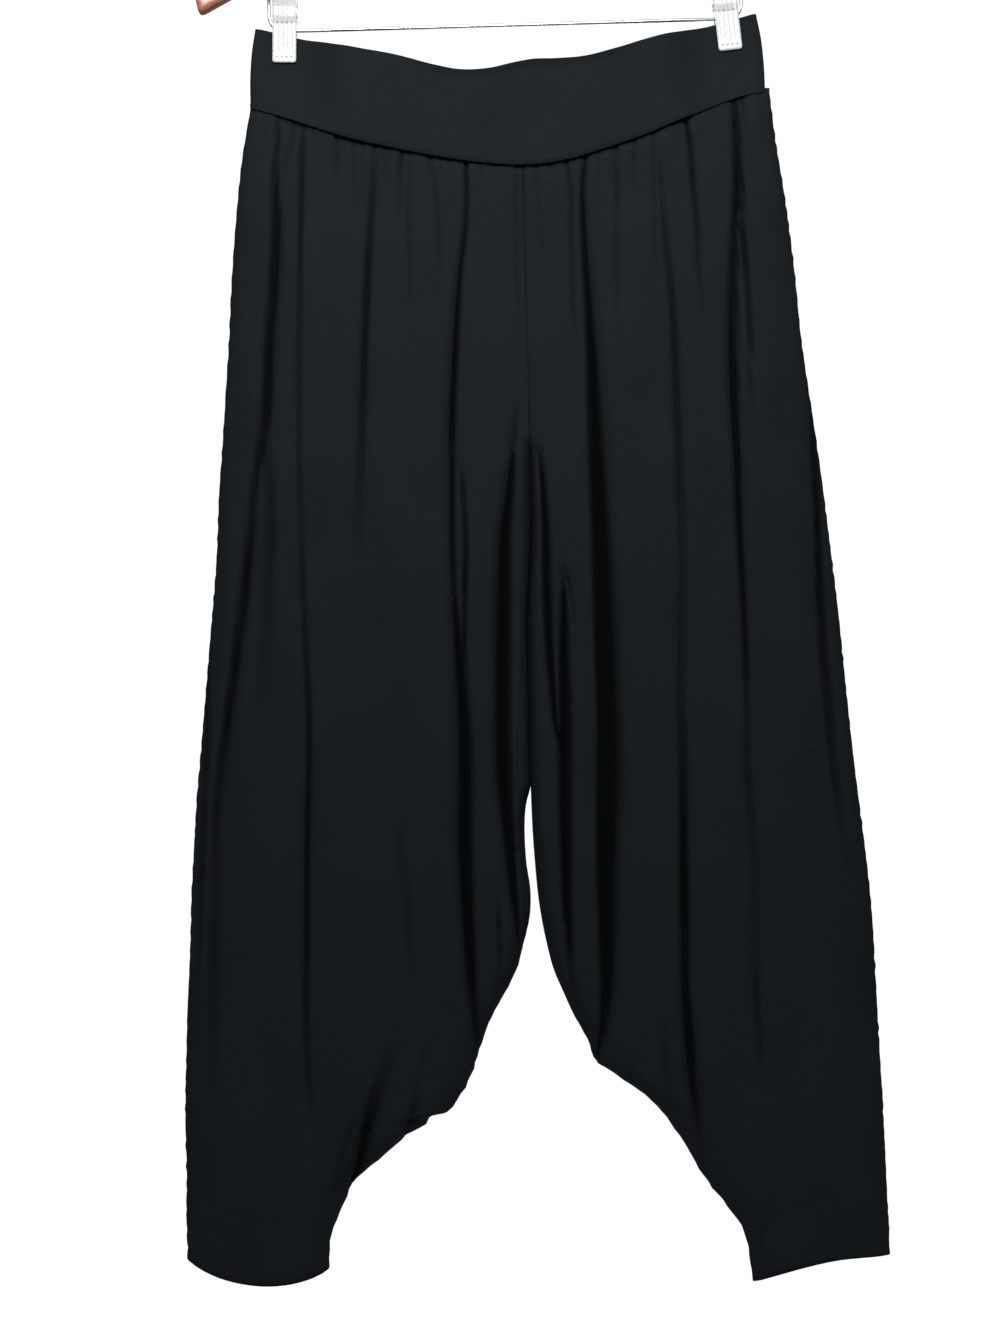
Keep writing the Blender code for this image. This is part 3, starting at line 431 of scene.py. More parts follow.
# The wooden body's middle line above the bar, and its height, from the neck out to a tip
ArmRow = namedtuple("ArmRow", "x lift height")
ARM = table(ArmRow, [
    (0, 112, 32), (30, 107, 31), (60, 98, 29), (90, 87, 28), (120, 75, 27), (150, 61, 26),
    (180, 47.5, 25), (205, 35, 24), (222.5, 26, 23),
])
WOOD_THICK = 12.0
TIP_CUT = 4.5           # the tips are cut square to the arms, so their lower corners stand further in
BAR_END_X = 170.0
BAR_BEND = 11.0
JAW_CORNER = 2.0
RIB_PITCH = 3.4
RIB_HEIGHT = 0.34
TEETH = (-5, -1.7, 1.7, 5)
STUDS = (-5.1, -1.7, 1.7, 5.1)
COIL_STEPS = 18         # sides of one turn of the spring
SPRING_DROP = -14.0
SPRING_RADIUS = 3.2
SPRING_LENGTH = 12.0

# The stage, in metres and watts
AIM = (-0.017, 0.0, -0.68)
BACKDROP = 1.05         # how bright the studio's walls look to the camera
FLOOR_Z = -1.9
FLOOR_RADIUS = 1.6
Lamp = namedtuple("Lamp", "name place size power")
LAMPS = [
    Lamp("key light", (-0.12, -1.05, 0.34), 0.6, 34),
    Lamp("fill light", (0.8, -1.3, 0.5), 1.0, 9),
    Lamp("back light", (0.3, 1.5, 0.3), 1.0, 24),
]


def linear(code):
    """A colour given as sRGB hex, as the linear values that Blender works in."""
    parts = [int(code[i : i + 2], 16) / 255 for i in (1, 3, 5)]
    return tuple(p / 12.92 if p <= 0.04045 else ((p + 0.055) / 1.055) ** 2.4 for p in parts)


def colour(name, description, code):
    return FloatVectorProperty(
        name=name, description=description, subtype="COLOR", size=3, min=0, max=1, default=linear(code)
    )


def length(name, description, millimetres):
    return FloatProperty(name=name, description=description, unit="LENGTH", default=millimetres * MM, min=0)


class ClothSettings(bpy.types.PropertyGroup):
    thickness: length("Jersey", "Thickness of one layer of the legs' jersey", 0.9)
    band_thickness: length("Waistband", "Thickness of the doubled waistband", 1.9)
    tuck: length("Seam tuck", "How far the legs' tops sink behind the waistband", 2.6)
    groove: length("Seam groove", "Depth of the groove along a seam", 0.55)
    gather_depth: length("Gathers", "Depth of the small gathers under the waistband", 0.9)
    gathers: IntProperty(
        name="Gathers per panel", description="Small gathers under the waistband", default=20, min=0
    )
    fold_scale: FloatProperty(
        name="Fold depth", description="Depth of the creases, as a share of the real ones", default=1.0, min=0
    )
    rows: IntProperty(name="Rows", description="Rows of a leg panel's mesh", default=186, min=20)
    columns: IntProperty(name="Columns", description="Columns of a leg panel's mesh", default=230, min=20)
    stitch: length("Stitch", "Length of one stitch of the hem", 2.6)
    dye: colour("Dye", "Black dye of the jersey", "#0D1012")
    worn_dye: colour("Lighter dye", "The dye where the knit is a little more open", "#14181B")
    # Painted shade: the near-black that the 'fold' attribute darkens the cloth towards in creases, under the
    # waistband and in the slit
    fold_painted_shade: colour("Painted shade inside folds", "How dark the cloth reads deep inside a fold", "#020303")
    thread: colour("Thread", "Thread of the hems", "#0A0C0E")


class HangerSettings(bpy.types.PropertyGroup):
    hook_wire: length("Hook wire", "Thickness of the hook", 3.4)
    hook_radius: length("Hook radius", "Inner radius of the hook", 21)
    bar_wire: length("Bar wire", "Thickness of the bar that the clips slide on", 2.4)
    spring_wire: length("Spring wire", "Thickness of the clips' springs", 1.1)
    edge: length("Rounded edge", "Radius of the wood's rounded edges", 3.5)
    wood: colour("Wood", "Varnished wood between its grain", "#96604A")
    grain: colour("Grain", "Darker grain of the wood", "#66392A")
    plastic: colour("Clip", "Clear plastic of the clips", "#C3C5C4")
    steel: colour("Plating", "Chrome plating of the wires", "#C4C7C9")


class StageSettings(bpy.types.PropertyGroup):
    floor: colour("Floor", "Plain pale floor", "#FAFAF9")
    sky: FloatProperty(name="Surroundings", description="Light from the studio's walls", default=0.2, min=0)
    lens: FloatProperty(name="Lens", description="Focal length of the camera", default=47.0, min=10)
    view_height: length("View height", "Height of what the camera takes in at the garment", 960)
    roll: FloatProperty(
        name="Roll", description="Roll of the camera", subtype="ANGLE", default=math.radians(-1.6)
    )


def add_node(tree, kind, inputs=None, **settings):
    """A shader node with its settings, and its inputs set or linked."""
    made = tree.nodes.new(f"ShaderNode{kind}")
    for key, value in settings.items():
        setattr(made, key, value)
    for key, value in (inputs or {}).items():
        if isinstance(value, bpy.types.NodeSocket):
            tree.links.new(value, made.inputs[key])
        else:
            made.inputs[key].default_value = value
    return made


def new_material(name):
    made = bpy.data.materials.new(name)
    made.use_nodes = True
    tree = made.node_tree
    tree.nodes.clear()
    return made, tree


def finish_material(tree, inputs):
    shader = add_node(tree, "BsdfPrincipled", inputs)
    add_node(tree, "OutputMaterial", {"Surface": shader.outputs["BSDF"]})


# On a Mix node set to colours, the two colours and the result have these places
MIX_A, MIX_B, MIX_RESULT = 6, 7, 2


def jersey(settings):
    """Viscose jersey, piece-dyed black: a fine knit with a dull face and a faint bloom at glancing angles.
    Its wales are drawn 1.1 mm apart, twice their real spacing, so that they show."""
    made, tree = new_material("black viscose jersey")
    uv = add_node(tree, "UVMap", uv_map="cloth").outputs["UV"]
    wavy = {"Vector": uv, "Distortion": 0.6, "Detail": 1.0}
    wales = add_node(tree, "TexWave", {**wavy, "Scale": 0.286}, bands_direction="X")
    courses = add_node(tree, "TexWave", {**wavy, "Scale": 0.33}, bands_direction="Y")
    knit = add_node(tree, "Math", {0: wales.outputs["Fac"], 1: courses.outputs["Fac"]}, operation="MULTIPLY")
    mottle = add_node(tree, "TexNoise", {"Vector": uv, "Scale": 0.7, "Detail": 3.0, "Roughness": 0.6})
    cloud = add_node(tree, "TexNoise", {"Vector": uv, "Scale": 0.018, "Detail": 2.0})
    both = add_node(tree, "Math", {0: cloud.outputs["Fac"], 1: 0.3, 2: mottle.outputs["Fac"]},
                    operation="MULTIPLY_ADD")
    spread = add_node(tree, "MapRange", {"Value": both.outputs["Value"], "From Min": 0.4, "From Max": 0.9})
    dyed = add_node(tree, "Mix", data_type="RGBA", inputs={
        0: spread.outputs["Result"], MIX_A: (*settings.dye, 1), MIX_B: (*settings.worn_dye, 1)})
    # Painted shade: the 'fold' attribute mixes the dye towards near-black inside creases, under the
    # waistband's seam, in the slit and under the band's rolled edge
    fold = add_node(tree, "Attribute", attribute_name="fold")
    shaded = add_node(tree, "Mix", data_type="RGBA", inputs={
        0: fold.outputs["Fac"], MIX_A: dyed.outputs[MIX_RESULT], MIX_B: (*settings.fold_painted_shade, 1)})
    loops = add_node(tree, "Bump", {"Height": knit.outputs["Value"], "Strength": 0.35, "Distance": 0.0001})
    fuzz = add_node(tree, "Bump", {
        "Height": mottle.outputs["Fac"], "Strength": 0.3, "Distance": 0.0004,
        "Normal": loops.outputs["Normal"]})
    finish_material(tree, {
        "Base Color": shaded.outputs[MIX_RESULT],
        "Normal": fuzz.outputs["Normal"],
        "Roughness": 0.78,
        "Specular IOR Level": 0.035,
        "Sheen Weight": 0.006,
        "Sheen Roughness": 0.45,
        "Sheen Tint": (0.75, 0.88, 1.0, 1.0),
    })
    return made


def thread(settings):
    """Polyester sewing thread, a little smoother and brighter than the knit that it lies on."""
    made, tree = new_material("polyester sewing thread")
    place = add_node(tree, "TexCoord")
    twist = add_node(tree, "TexNoise", {"Vector": place.outputs["Object"], "Scale": 2200.0})
    strand = add_node(tree, "Bump", {"Height": twist.outputs["Fac"], "Strength": 0.4, "Distance": 0.0001})
    finish_material(tree, {
        "Base Color": (*settings.thread, 1),
        "Normal": strand.outputs["Normal"],
        "Roughness": 0.6,
        "Specular IOR Level": 0.1,
    })
    return made


def varnished_wood(settings):
    """Red-brown stained beech under clear varnish: fine grain that runs along the arms, and a soft gloss."""
    made, tree = new_material("varnished beech")
    place = add_node(tree, "TexCoord")
    along = add_node(tree, "Mapping", {"Vector": place.outputs["Object"], "Scale": (6, 60, 110)})
    figure = add_node(tree, "TexNoise",
                      {"Vector": along.outputs["Vector"], "Scale": 2.2, "Detail": 6.0, "Distortion": 0.8})
    flecks = add_node(tree, "Mapping", {"Vector": place.outputs["Object"], "Scale": (60, 500, 900)})
    pores = add_node(tree, "TexNoise", {"Vector": flecks.outputs["Vector"], "Scale": 1.4, "Detail": 3.0})
    spread = add_node(tree, "MapRange", {"Value": figure.outputs["Fac"], "From Min": 0.35, "From Max": 0.7})
    stained = add_node(tree, "Mix", data_type="RGBA", inputs={
        0: spread.outputs["Result"], MIX_A: (*settings.wood, 1), MIX_B: (*settings.grain, 1)})
    fleck = add_node(tree, "MapRange", {
        "Value": pores.outputs["Fac"], "From Min": 0.6, "From Max": 0.75, "To Max": 0.6})
    flecked = add_node(tree, "Mix", data_type="RGBA", inputs={
        0: fleck.outputs["Result"], MIX_A: stained.outputs[MIX_RESULT], MIX_B: (*settings.grain, 1)})
    rough = add_node(tree, "MapRange", {"Value": figure.outputs["Fac"], "To Min": 0.34, "To Max": 0.46})
    bump = add_node(tree, "Bump", {"Height": pores.outputs["Fac"], "Strength": 0.2, "Distance": 0.0003})
    finish_material(tree, {
        "Base Color": flecked.outputs[MIX_RESULT],
        "Roughness": rough.outputs["Result"],
        "Normal": bump.outputs["Normal"],
        "Coat Weight": 0.35,
        "Coat Roughness": 0.18,
    })
    return made


def plated_steel(settings):
    """Drawn steel wire, chrome plated: bright, with faint lines from the drawing."""
    made, tree = new_material("chrome plated steel wire")
    place = add_node(tree, "TexCoord")
    lines = add_node(tree, "TexNoise", {"Vector": place.outputs["Object"], "Scale": 900.0, "Detail": 2.0})
    rough = add_node(tree, "MapRange", {"Value": lines.outputs["Fac"], "To Min": 0.12, "To Max": 0.3})
    finish_material(tree, {
        "Base Color": (*settings.steel, 1),
        "Metallic": 1.0,
        "Roughness": rough.outputs["Result"],
    })
    return made


def clear_plastic(settings):
    """Injection-moulded clear polycarbonate, a little hazy and scuffed, so that the cloth shows through."""
    made, tree = new_material("clear polycarbonate")
    place = add_node(tree, "TexCoord")
    scuffs = add_node(tree, "TexNoise", {"Vector": place.outputs["Object"], "Scale": 420.0, "Detail": 4.0})
    rough = add_node(tree, "MapRange", {"Value": scuffs.outputs["Fac"], "To Min": 0.2, "To Max": 0.34})
    finish_material(tree, {
        "Base Color": (*settings.plastic, 1),
        "Roughness": rough.outputs["Result"],
        "Transmission Weight": 0.3,
        "IOR": 1.58,
    })
    return made


def floor_paint(settings):
    """Matt studio floor."""
    made, tree = new_material("matt studio floor")
    finish_material(tree, {
        "Base Color": (*settings.floor, 1),
        "Roughness": 0.9,
        "Specular IOR Level": 0.1,
    })
    return made


def material(maker, settings):
    """The material that a maker makes, made once for all the pieces that use it."""
    if maker.__name__ not in finishes:
        finishes[maker.__name__] = maker(settings)
    return finishes[maker.__name__]


finishes = {}


def world(x, y, drop):
    """A place given across, in depth and below the bar, as a point in metres."""
    return Vector((x * MM, y * MM, -(BAR_DROP + drop) * MM))


def smooth_curve(xs, ys, at):
    """The smooth curve through points: a cubic between them, its slope from their neighbours."""
    xs = np.asarray(xs, float)
    ys = np.asarray(ys, float)
    slopes = np.gradient(ys, xs)
    i = np.clip(np.searchsorted(xs, at) - 1, 0, len(xs) - 2)
    span = xs[i + 1] - xs[i]
    t = np.clip((at - xs[i]) / span, 0, 1)
    rise = ys[i + 1] - ys[i]
    start = slopes[i] * span
    end = slopes[i + 1] * span
    return ys[i] + start * t + (3 * rise - 2 * start - end) * t**2 + (start + end - 2 * rise) * t**3


def column(table, name):
    return [getattr(row, name) for row in table]


def read(table, name, at):
    """A column of a table against its first column, by the smooth curve through it."""
    return smooth_curve(column(table, table[0]._fields[0]), column(table, name), at)


def ease(low, high, x):
    """0 below low, 1 above high, and a soft rise between them."""
    t = np.clip((x - low) / (high - low), 0, 1)
    return t * t * (3 - 2 * t)


def within(span, x):
    """1 inside a span and 0 outside it: a soft rise between its first two numbers, a soft fall
    between its last two."""
    rise, full, fade, end = span
    return ease(rise, full, x) * (1 - ease(fade, end, x))


def arc_height(inset, length):
    """The height of a quarter ellipse of that length and height 1, at a distance in from its end."""
    t = np.clip(inset / length, 0, 1)
    return np.sqrt(np.maximum(0, 1 - (1 - t) ** 2))


def pinch(x, drop):
    """How far the clips press the layers together: 1 between their jaws."""
    away = np.abs(x) - CLIP_X
    reach = np.where(away > 0, PINCH_OUTWARD, PINCH_INWARD)
    spring_back = np.where(away > 0, PINCH_OUTSIDE, 1.0)
    across = 1 - spring_back * ease(PINCH_FLAT, PINCH_FLAT + reach, np.abs(away))
    return across * (1 - ease(PINCH_DROP, PINCH_DROP + PINCH_FADE, drop))


def pressed(depth, closest, x, drop):
    """The depth of an outer face once the clips have pinched the layers together."""
    return depth + (np.minimum(depth, closest) - depth) * pinch(x, drop)


def waves(seed, count, height, across, down):
    """A gentle unevenness: a sum of waves of about that height, with lengths in the two ranges given."""
    rng = random.Random(seed)
    parts = [
        (height * rng.uniform(0.5, 1), 2 * math.pi / rng.uniform(*across), 2 * math.pi / rng.uniform(*down),
         rng.uniform(0, 2 * math.pi))
        for _ in range(count)
    ]

    def at(x, drop):
        return sum(tall * np.sin(per_x * x + per_drop * drop + start)
                   for tall, per_x, per_drop, start in parts)

    return at


def crease_shape(crease, out, drop):
    """How far one crease sinks the cloth at places, and the shade painted inside it there."""
    drops, centres, depths, inners, outers = np.array(crease.places, float).T
    away = out - smooth_curve(drops, centres, drop)
    width = np.where(away > 0, np.interp(drop, drops, outers), np.interp(drop, drops, inners))
    t = np.clip(np.abs(away) / (CREASE_REACH * width), 0, 1)
    shape = crease.sharp * (1 - t) ** 2 + (1 - crease.sharp) * (1 - t * t * (3 - 2 * t))
    depth = np.interp(drop, drops, depths)
    # The second number is painted shade: how dark the cloth's colour is made inside the crease, full at its
    # bottom and reaching nearer its lips the deeper it is
    lip = np.interp(depth, [FOLD_FULL, FOLD_DEEPEST], [0.4, 0.12])
    return depth * shape, np.clip(depth / FOLD_FULL, 0, 1) * ease(lip, lip + 0.4, shape)


def gathers(settings, leg, face):
    """Small gathers that hang from the waistband's seam, unevenly spaced and of uneven length."""
    rng = random.Random(f"{leg} {face} gathers")
    mirror = -1 if leg == "right" else 1
    nearest, farthest = GATHERED
    made = []
    for k in range(settings.gathers):
        out = nearest + (k + rng.uniform(0.1, 0.9)) / settings.gathers * (farthest - nearest)
        top = float(read(BAND_SEAM, "drop", mirror * out))
        long = rng.uniform(*GATHER_LENGTHS)
        deep = settings.gather_depth / MM * rng.uniform(0.4, 1.3)
        wide = rng.uniform(*GATHER_WIDTHS)
        drift = rng.uniform(-2, 2)
        made.append(Crease("small gather", 0.5, [
            (top, out, deep, wide, wide),
            (top + 0.4 * long, out + 0.5 * drift, 0.7 * deep, wide, 1.2 * wide),
            (top + long, out + drift, 0, wide, 1.4 * wide),
        ]))
    return made


def leg_rows(settings, leg):
    """The leg's sections at even steps down: its table read between its rows."""
    table = RIGHT_LEG if leg == "right" else LEFT_LEG
    middles = [(row.outer_drop + row.inner_drop) / 2 for row in table]
    at = np.linspace(middles[0], middles[-1], settings.rows)
    columns = [smooth_curve(middles, column(table, name), at) for name in LegRow._fields]
    return [LegRow(*values) for values in zip(*columns)]


def base_section(row, full, roll, face):
    """A panel's section with no crease in it, from its side seam to its centre seam or inseam: how far
    out each place is, and 1 where it is on the front or -1 where it is on the back."""
    turn = np.linspace(0, math.pi / 2, 26)
    from_outer = row.outer_x - full.outer_round * (1 - np.cos(turn))
    to_inner = row.inner_x + full.inner_round * (1 - np.cos(turn[::-1]))
    between = np.linspace(from_outer[-1], to_inner[0], 420)[1:-1]
    out = np.concatenate([from_outer, between, to_inner])
    side = np.full(len(out), 1.0 if face == "front" else -1.0)
    seam_x = row.inner_x + roll
    if face == "front":
        kept = out > seam_x
        out = np.append(out[kept], seam_x)
        return out, side[: len(out)]
    if roll > 0:
        wrapped = np.unique(np.append(out[out < seam_x], seam_x))[1:]
        out = np.concatenate([out, wrapped])
        side = np.concatenate([side, np.ones(len(wrapped))])
    return out, side


def leg_panel(settings, leg, face):
    """Places over one panel of a leg, in rows from the side seam inwards: x, y, drop, the shade painted at
    each place in creases, under the waistband and in the slit, and how far along the cloth."""
    mirror = -1 if leg == "right" else 1
    rows = leg_rows(settings, leg)
    first, last = rows[0], rows[-1]
    uneven = waves(f"{leg} {face} uneven", 7, 0.28, (34, 120), (160, 600))
    creases = {1: CREASES[leg, "front"] + gathers(settings, leg, "front"),
               -1: CREASES[leg, "back"] + gathers(settings, leg, "back")}
    dents = {1: DENTS[leg, "front"], -1: DENTS[leg, "back"]}
    closest = settings.thickness / MM + LAYER_GAP
    grid = []
    for lifted, row in [(TUCKED_UP, rows[0])] + [(0.0, row) for row in rows]:
        middle = (row.outer_drop + row.inner_drop) / 2
        full = DepthRow(0, *(float(np.interp(row.outer_drop, column(DEPTHS, "drop"), column(DEPTHS, name)))
                             for name in DepthRow._fields[1:]))
        roll = max(0.0, float(read(INSEAM_ROLL[leg], "roll", middle)))
        out, side = base_section(row, full, roll, face)
        t = (row.outer_x - out) / (row.outer_x - row.inner_x)
        drop = row.outer_drop + (row.inner_drop - row.outer_drop) * t
        chord = first.outer_drop + (first.inner_drop - first.outer_drop) * t
        seam = read(BAND_SEAM, "drop", mirror * (first.outer_x + (first.inner_x - first.outer_x) * t))
        drop += (seam - chord) * (1 - ease(0, SEAM_REACH, middle - (first.outer_drop + first.inner_drop) / 2))
        to_hem = (last.outer_drop + last.inner_drop) / 2 - middle
        drop += 4 * t * (1 - t) * HEM_DROOP[leg, face] * (1 - ease(0, HEM_REACH, to_hem))
        at_outer = arc_height(row.outer_x - out, full.outer_round)
        at_inner = 1 - full.closed * (1 - arc_height(out - row.inner_x, full.inner_round))
        rounded = at_outer * at_inner
        drop -= lifted
        sunk = np.zeros(len(out))
        shadow = np.zeros(len(out))
        for which in (1, -1):
            here = side == which
            if not here.any():
                continue
            for crease in creases[which]:
                sink, dark = crease_shape(crease, out[here], drop[here])
                sunk[here] += sink
                shadow[here] = np.maximum(shadow[here], dark)
            for dent in dents[which]:
                away = np.hypot(out[here] - dent.out, drop[here] - dent.drop)
                sunk[here] += dent.depth * (1 - ease(0, DENT_REACH * dent.radius, away))
        sunk = sunk * settings.fold_scale
        below = drop - seam
        strength = np.interp(mirror * out, column(SEAM_SHADE, "x"), column(SEAM_SHADE, "strength"))
        if face == "back":
            strength = BACK_SHADE[0] + BACK_SHADE[1] * strength
        tucked = settings.tuck / MM * strength * (1 - ease(0, TUCK_REACH, below))
        behind = BEHIND_BAND * (1 - ease(-1.5, 2.0, below))
        ripple = uneven(out, drop) * ease(STIFF_TOP - 60, STIFF_TOP, below)
        base = full.depth * rounded
        away = base - (sunk + ripple) * np.minimum(1, 1.3 * rounded) - tucked - behind
        away = np.maximum(away, np.minimum(base, closest))
        away = pressed(away, closest, mirror * out, drop)
        path = np.column_stack([out, -side * away, drop])
        along = np.concatenate([[0], np.cumsum(np.linalg.norm(np.diff(path[:, :2], axis=0), axis=1))])
        # Painted shade: the slit between the legs is painted dark, and a shadow is painted on the legs under
        # the waistband's seam, on top of the creases' painted shade
        in_slit = within(SLIT_DARK, drop) * (1 - ease(0.6, 2.6, out - row.inner_x))
        under_band = SHADE_DARK * strength * (1 - ease(0, SHADE_REACH, below))
        shadow = np.clip(shadow + under_band + in_slit, 0, 1)
        even = np.linspace(0, along[-1], settings.columns)
        grid.append(np.column_stack([np.interp(even, along, values)
                                     for values in (*path.T, shadow, along)]))
    grid = np.array(grid)
    sew_edges(settings, grid, leg, face)
    grid[:, :, 0] *= mirror
    return grid


def outward(places, face):
    """The direction out of the garment at each place over a panel."""
    normals = np.cross(np.gradient(places, axis=1), np.gradient(places, axis=0))
    normals /= np.maximum(np.linalg.norm(normals, axis=2, keepdims=True), 1e-9)
    at_hem = normals[-1, places.shape[1] // 2, 1]
    return normals if (at_hem < 0) == (face == "front") else -normals


def sew_edges(settings, grid, leg, face):
    """Curls the panel in along its seams, puckers the cloth beside them, and sinks the hem's stitch line."""
    places = grid[:, :, :3]
    from_side = grid[:, :, 4]
    from_inner = from_side[:, -1:] - from_side
    drop = places[:, :, 2]
    groove = settings.groove / MM
    at_slit = within(SLIT_TOUCH, drop)
    curled = np.maximum(1 - ease(0, CURL, from_side), (1 - ease(0, CURL, from_inner)) * (1 - at_slit))
    move = -groove * curled
    touching = at_slit * (1 - ease(6, 12, from_inner))
    for kind, pucker, from_seam, grows in (
        ("side", SIDE_PUCKER, from_side, 1),
        ("inner", INNER_PUCKER, from_inner, ease(*INNER_PUCKER_TOP, drop)),
    ):
        drawn = waves(f"{leg} {kind} seam", 6, pucker.height, UNCHANGED, pucker.lengths)(0, drop)
        move += drawn * within((0, 1.5, 1.5, pucker.reach), from_seam) * grows
    hem = drop[-1:, :] - drop
    stitch_pucker = waves(f"{leg} hem", 5, HEM_PUCKER.height, HEM_PUCKER.lengths, (300, 400))(
        places[:, :, 0], drop)
    near = np.exp(-((hem - HEM_DEEP) / TWIN_LINES) ** 2)
    move += (stitch_pucker - STITCH_SINK) * near
    move += 0.5 * stitch_pucker * (1 - ease(0, HEM_PUCKER.reach, hem))
    places += outward(places, face) * (move * (1 - touching))[:, :, None]


def cloth(name, grid, paint):
    """A piece of cloth over a grid of places, with its knit's map and the shade painted into it in creases,
    under the waistband and in the slit, and how far each of its vertices is above its lower edge."""
    rows, columns = grid.shape[:2]
    bm = bmesh.new()
    bmesh.ops.create_grid(bm, x_segments=columns - 1, y_segments=rows - 1, size=1)
    made = piece_from(bm, name, paint)
    mesh = made.data
    flat = np.empty(3 * len(mesh.vertices))
    mesh.vertices.foreach_get("co", flat)
    flat = flat.reshape(-1, 3)
    across = np.rint((1 + flat[:, 0]) / 2 * (columns - 1)).astype(int)
    down = np.rint((1 - flat[:, 1]) / 2 * (rows - 1)).astype(int)
    x, y, drop, fold, along = grid[down, across].T
    mesh.vertices.foreach_set("co", (np.column_stack([x, y, -(BAR_DROP + drop)]) * MM).ravel())
    corners = np.empty(len(mesh.loops), int)
    mesh.loops.foreach_get("vertex_index", corners)
    mesh.uv_layers.new(name="cloth").data.foreach_set("uv", np.column_stack([along, -drop])[corners].ravel())
    # The 'fold' attribute holds painted shade, by which the jersey's material darkens its colour
    mesh.attributes.new("fold", "FLOAT", "POINT").data.foreach_set("value", fold)
    mesh.update()
    facing = np.empty(3 * len(mesh.polygons))
    mesh.polygons.foreach_get("normal", facing)
    if facing[1::3].sum() * y.mean() < 0:
        mesh.flip_normals()
    return made, grid[-1, across, 2] - drop


def add_object(name, data):
    made = bpy.data.objects.new(name, data)
    bpy.context.scene.collection.objects.link(made)
    return made


def add_piece(name, mesh, paint):
    mesh.materials.append(paint)
    return add_object(name, mesh)


def shade_smooth(mesh):
    mesh.polygons.foreach_set("use_smooth", np.ones(len(mesh.polygons), bool))


def piece_from(bm, name, paint):
    """A smooth-shaded piece made from a bmesh, which is freed."""
    mesh = bpy.data.meshes.new(name)
    bm.to_mesh(mesh)
    bm.free()
    shade_smooth(mesh)
    return add_piece(name, mesh, paint)


def add_modifier(piece, kind, **values):
    modifier = piece.modifiers.new(kind.lower(), kind)
    for key, value in values.items():
        setattr(modifier, key, value)


def slab(name, inner, outer, paint):
    """A closed plate between two grids of places in metres, with rows running down."""
    rows, columns = inner.shape[:2]
    bm = bmesh.new()
    bmesh.ops.create_grid(bm, x_segments=columns - 1, y_segments=rows - 1, size=1)
    lifted = bmesh.ops.extrude_face_region(bm, geom=bm.faces[:])["geom"]
    bmesh.ops.translate(bm, verts=[v for v in lifted if isinstance(v, bmesh.types.BMVert)], vec=(0, 0, 1))
    bmesh.ops.recalc_face_normals(bm, faces=bm.faces)
    for vert in bm.verts:
        down = round((1 - vert.co.y) / 2 * (rows - 1))
        across = round((1 + vert.co.x) / 2 * (columns - 1))
        vert.co = (outer if vert.co.z > 0.5 else inner)[down, across]
    if bm.calc_volume(signed=True) < 0:
        bmesh.ops.reverse_faces(bm, faces=bm.faces)
    return piece_from(bm, name, paint)


def wire(name, points, thick, paint, sides=5):
    """A wire of round section with closed ends through points in metres."""
    curve = bpy.data.curves.new(name, "CURVE")
    curve.dimensions = "3D"
    line = curve.splines.new("POLY")
    line.points.add(len(points) - 1)
    for point, place in zip(line.points, points):
        point.co = (*place, 1)
    curve.bevel_depth = thick / 2
    curve.bevel_resolution = sides
    curve.use_fill_caps = True
    drawn = bpy.data.objects.new(name, curve)
    mesh = bpy.data.meshes.new_from_object(drawn)
    bpy.data.objects.remove(drawn)
    bpy.data.curves.remove(curve)
    mesh.name = name
    bm = bmesh.new()
    bm.from_mesh(mesh)
    bmesh.ops.remove_doubles(bm, verts=bm.verts, dist=1e-6)
    bmesh.ops.recalc_face_normals(bm, faces=bm.faces)
    bm.to_mesh(mesh)
    bm.free()
    mesh.materials.clear()
    shade_smooth(mesh)
    return add_piece(name, mesh, paint)


def turn(centre_x, centre_drop, radius, start, end, steps):
    """Points round an arc in the hanger's plane, angles in degrees from +X towards +Z."""
    angles = [math.radians(start + (end - start) * k / steps) for k in range(steps + 1)]
    return [world(centre_x + radius * math.cos(a), 0, centre_drop - radius * math.sin(a)) for a in angles]


def lean_clip(mirror, degrees):
    """The turn and the move that carry a clip's piece out to its place on the bar, its tip outward."""
    pivot = world(0, 0, -BAR_LIFT)
    return (
        Matrix.Translation((mirror * CLIP_X * MM, 0, 0))
        @ Matrix.Translation(pivot)
        @ Matrix.Rotation(-mirror * math.radians(degrees), 4, "Y")
        @ Matrix.Translation(-pivot)
    )


def arm(x, name):
    return float(read(ARM, name, abs(x)))


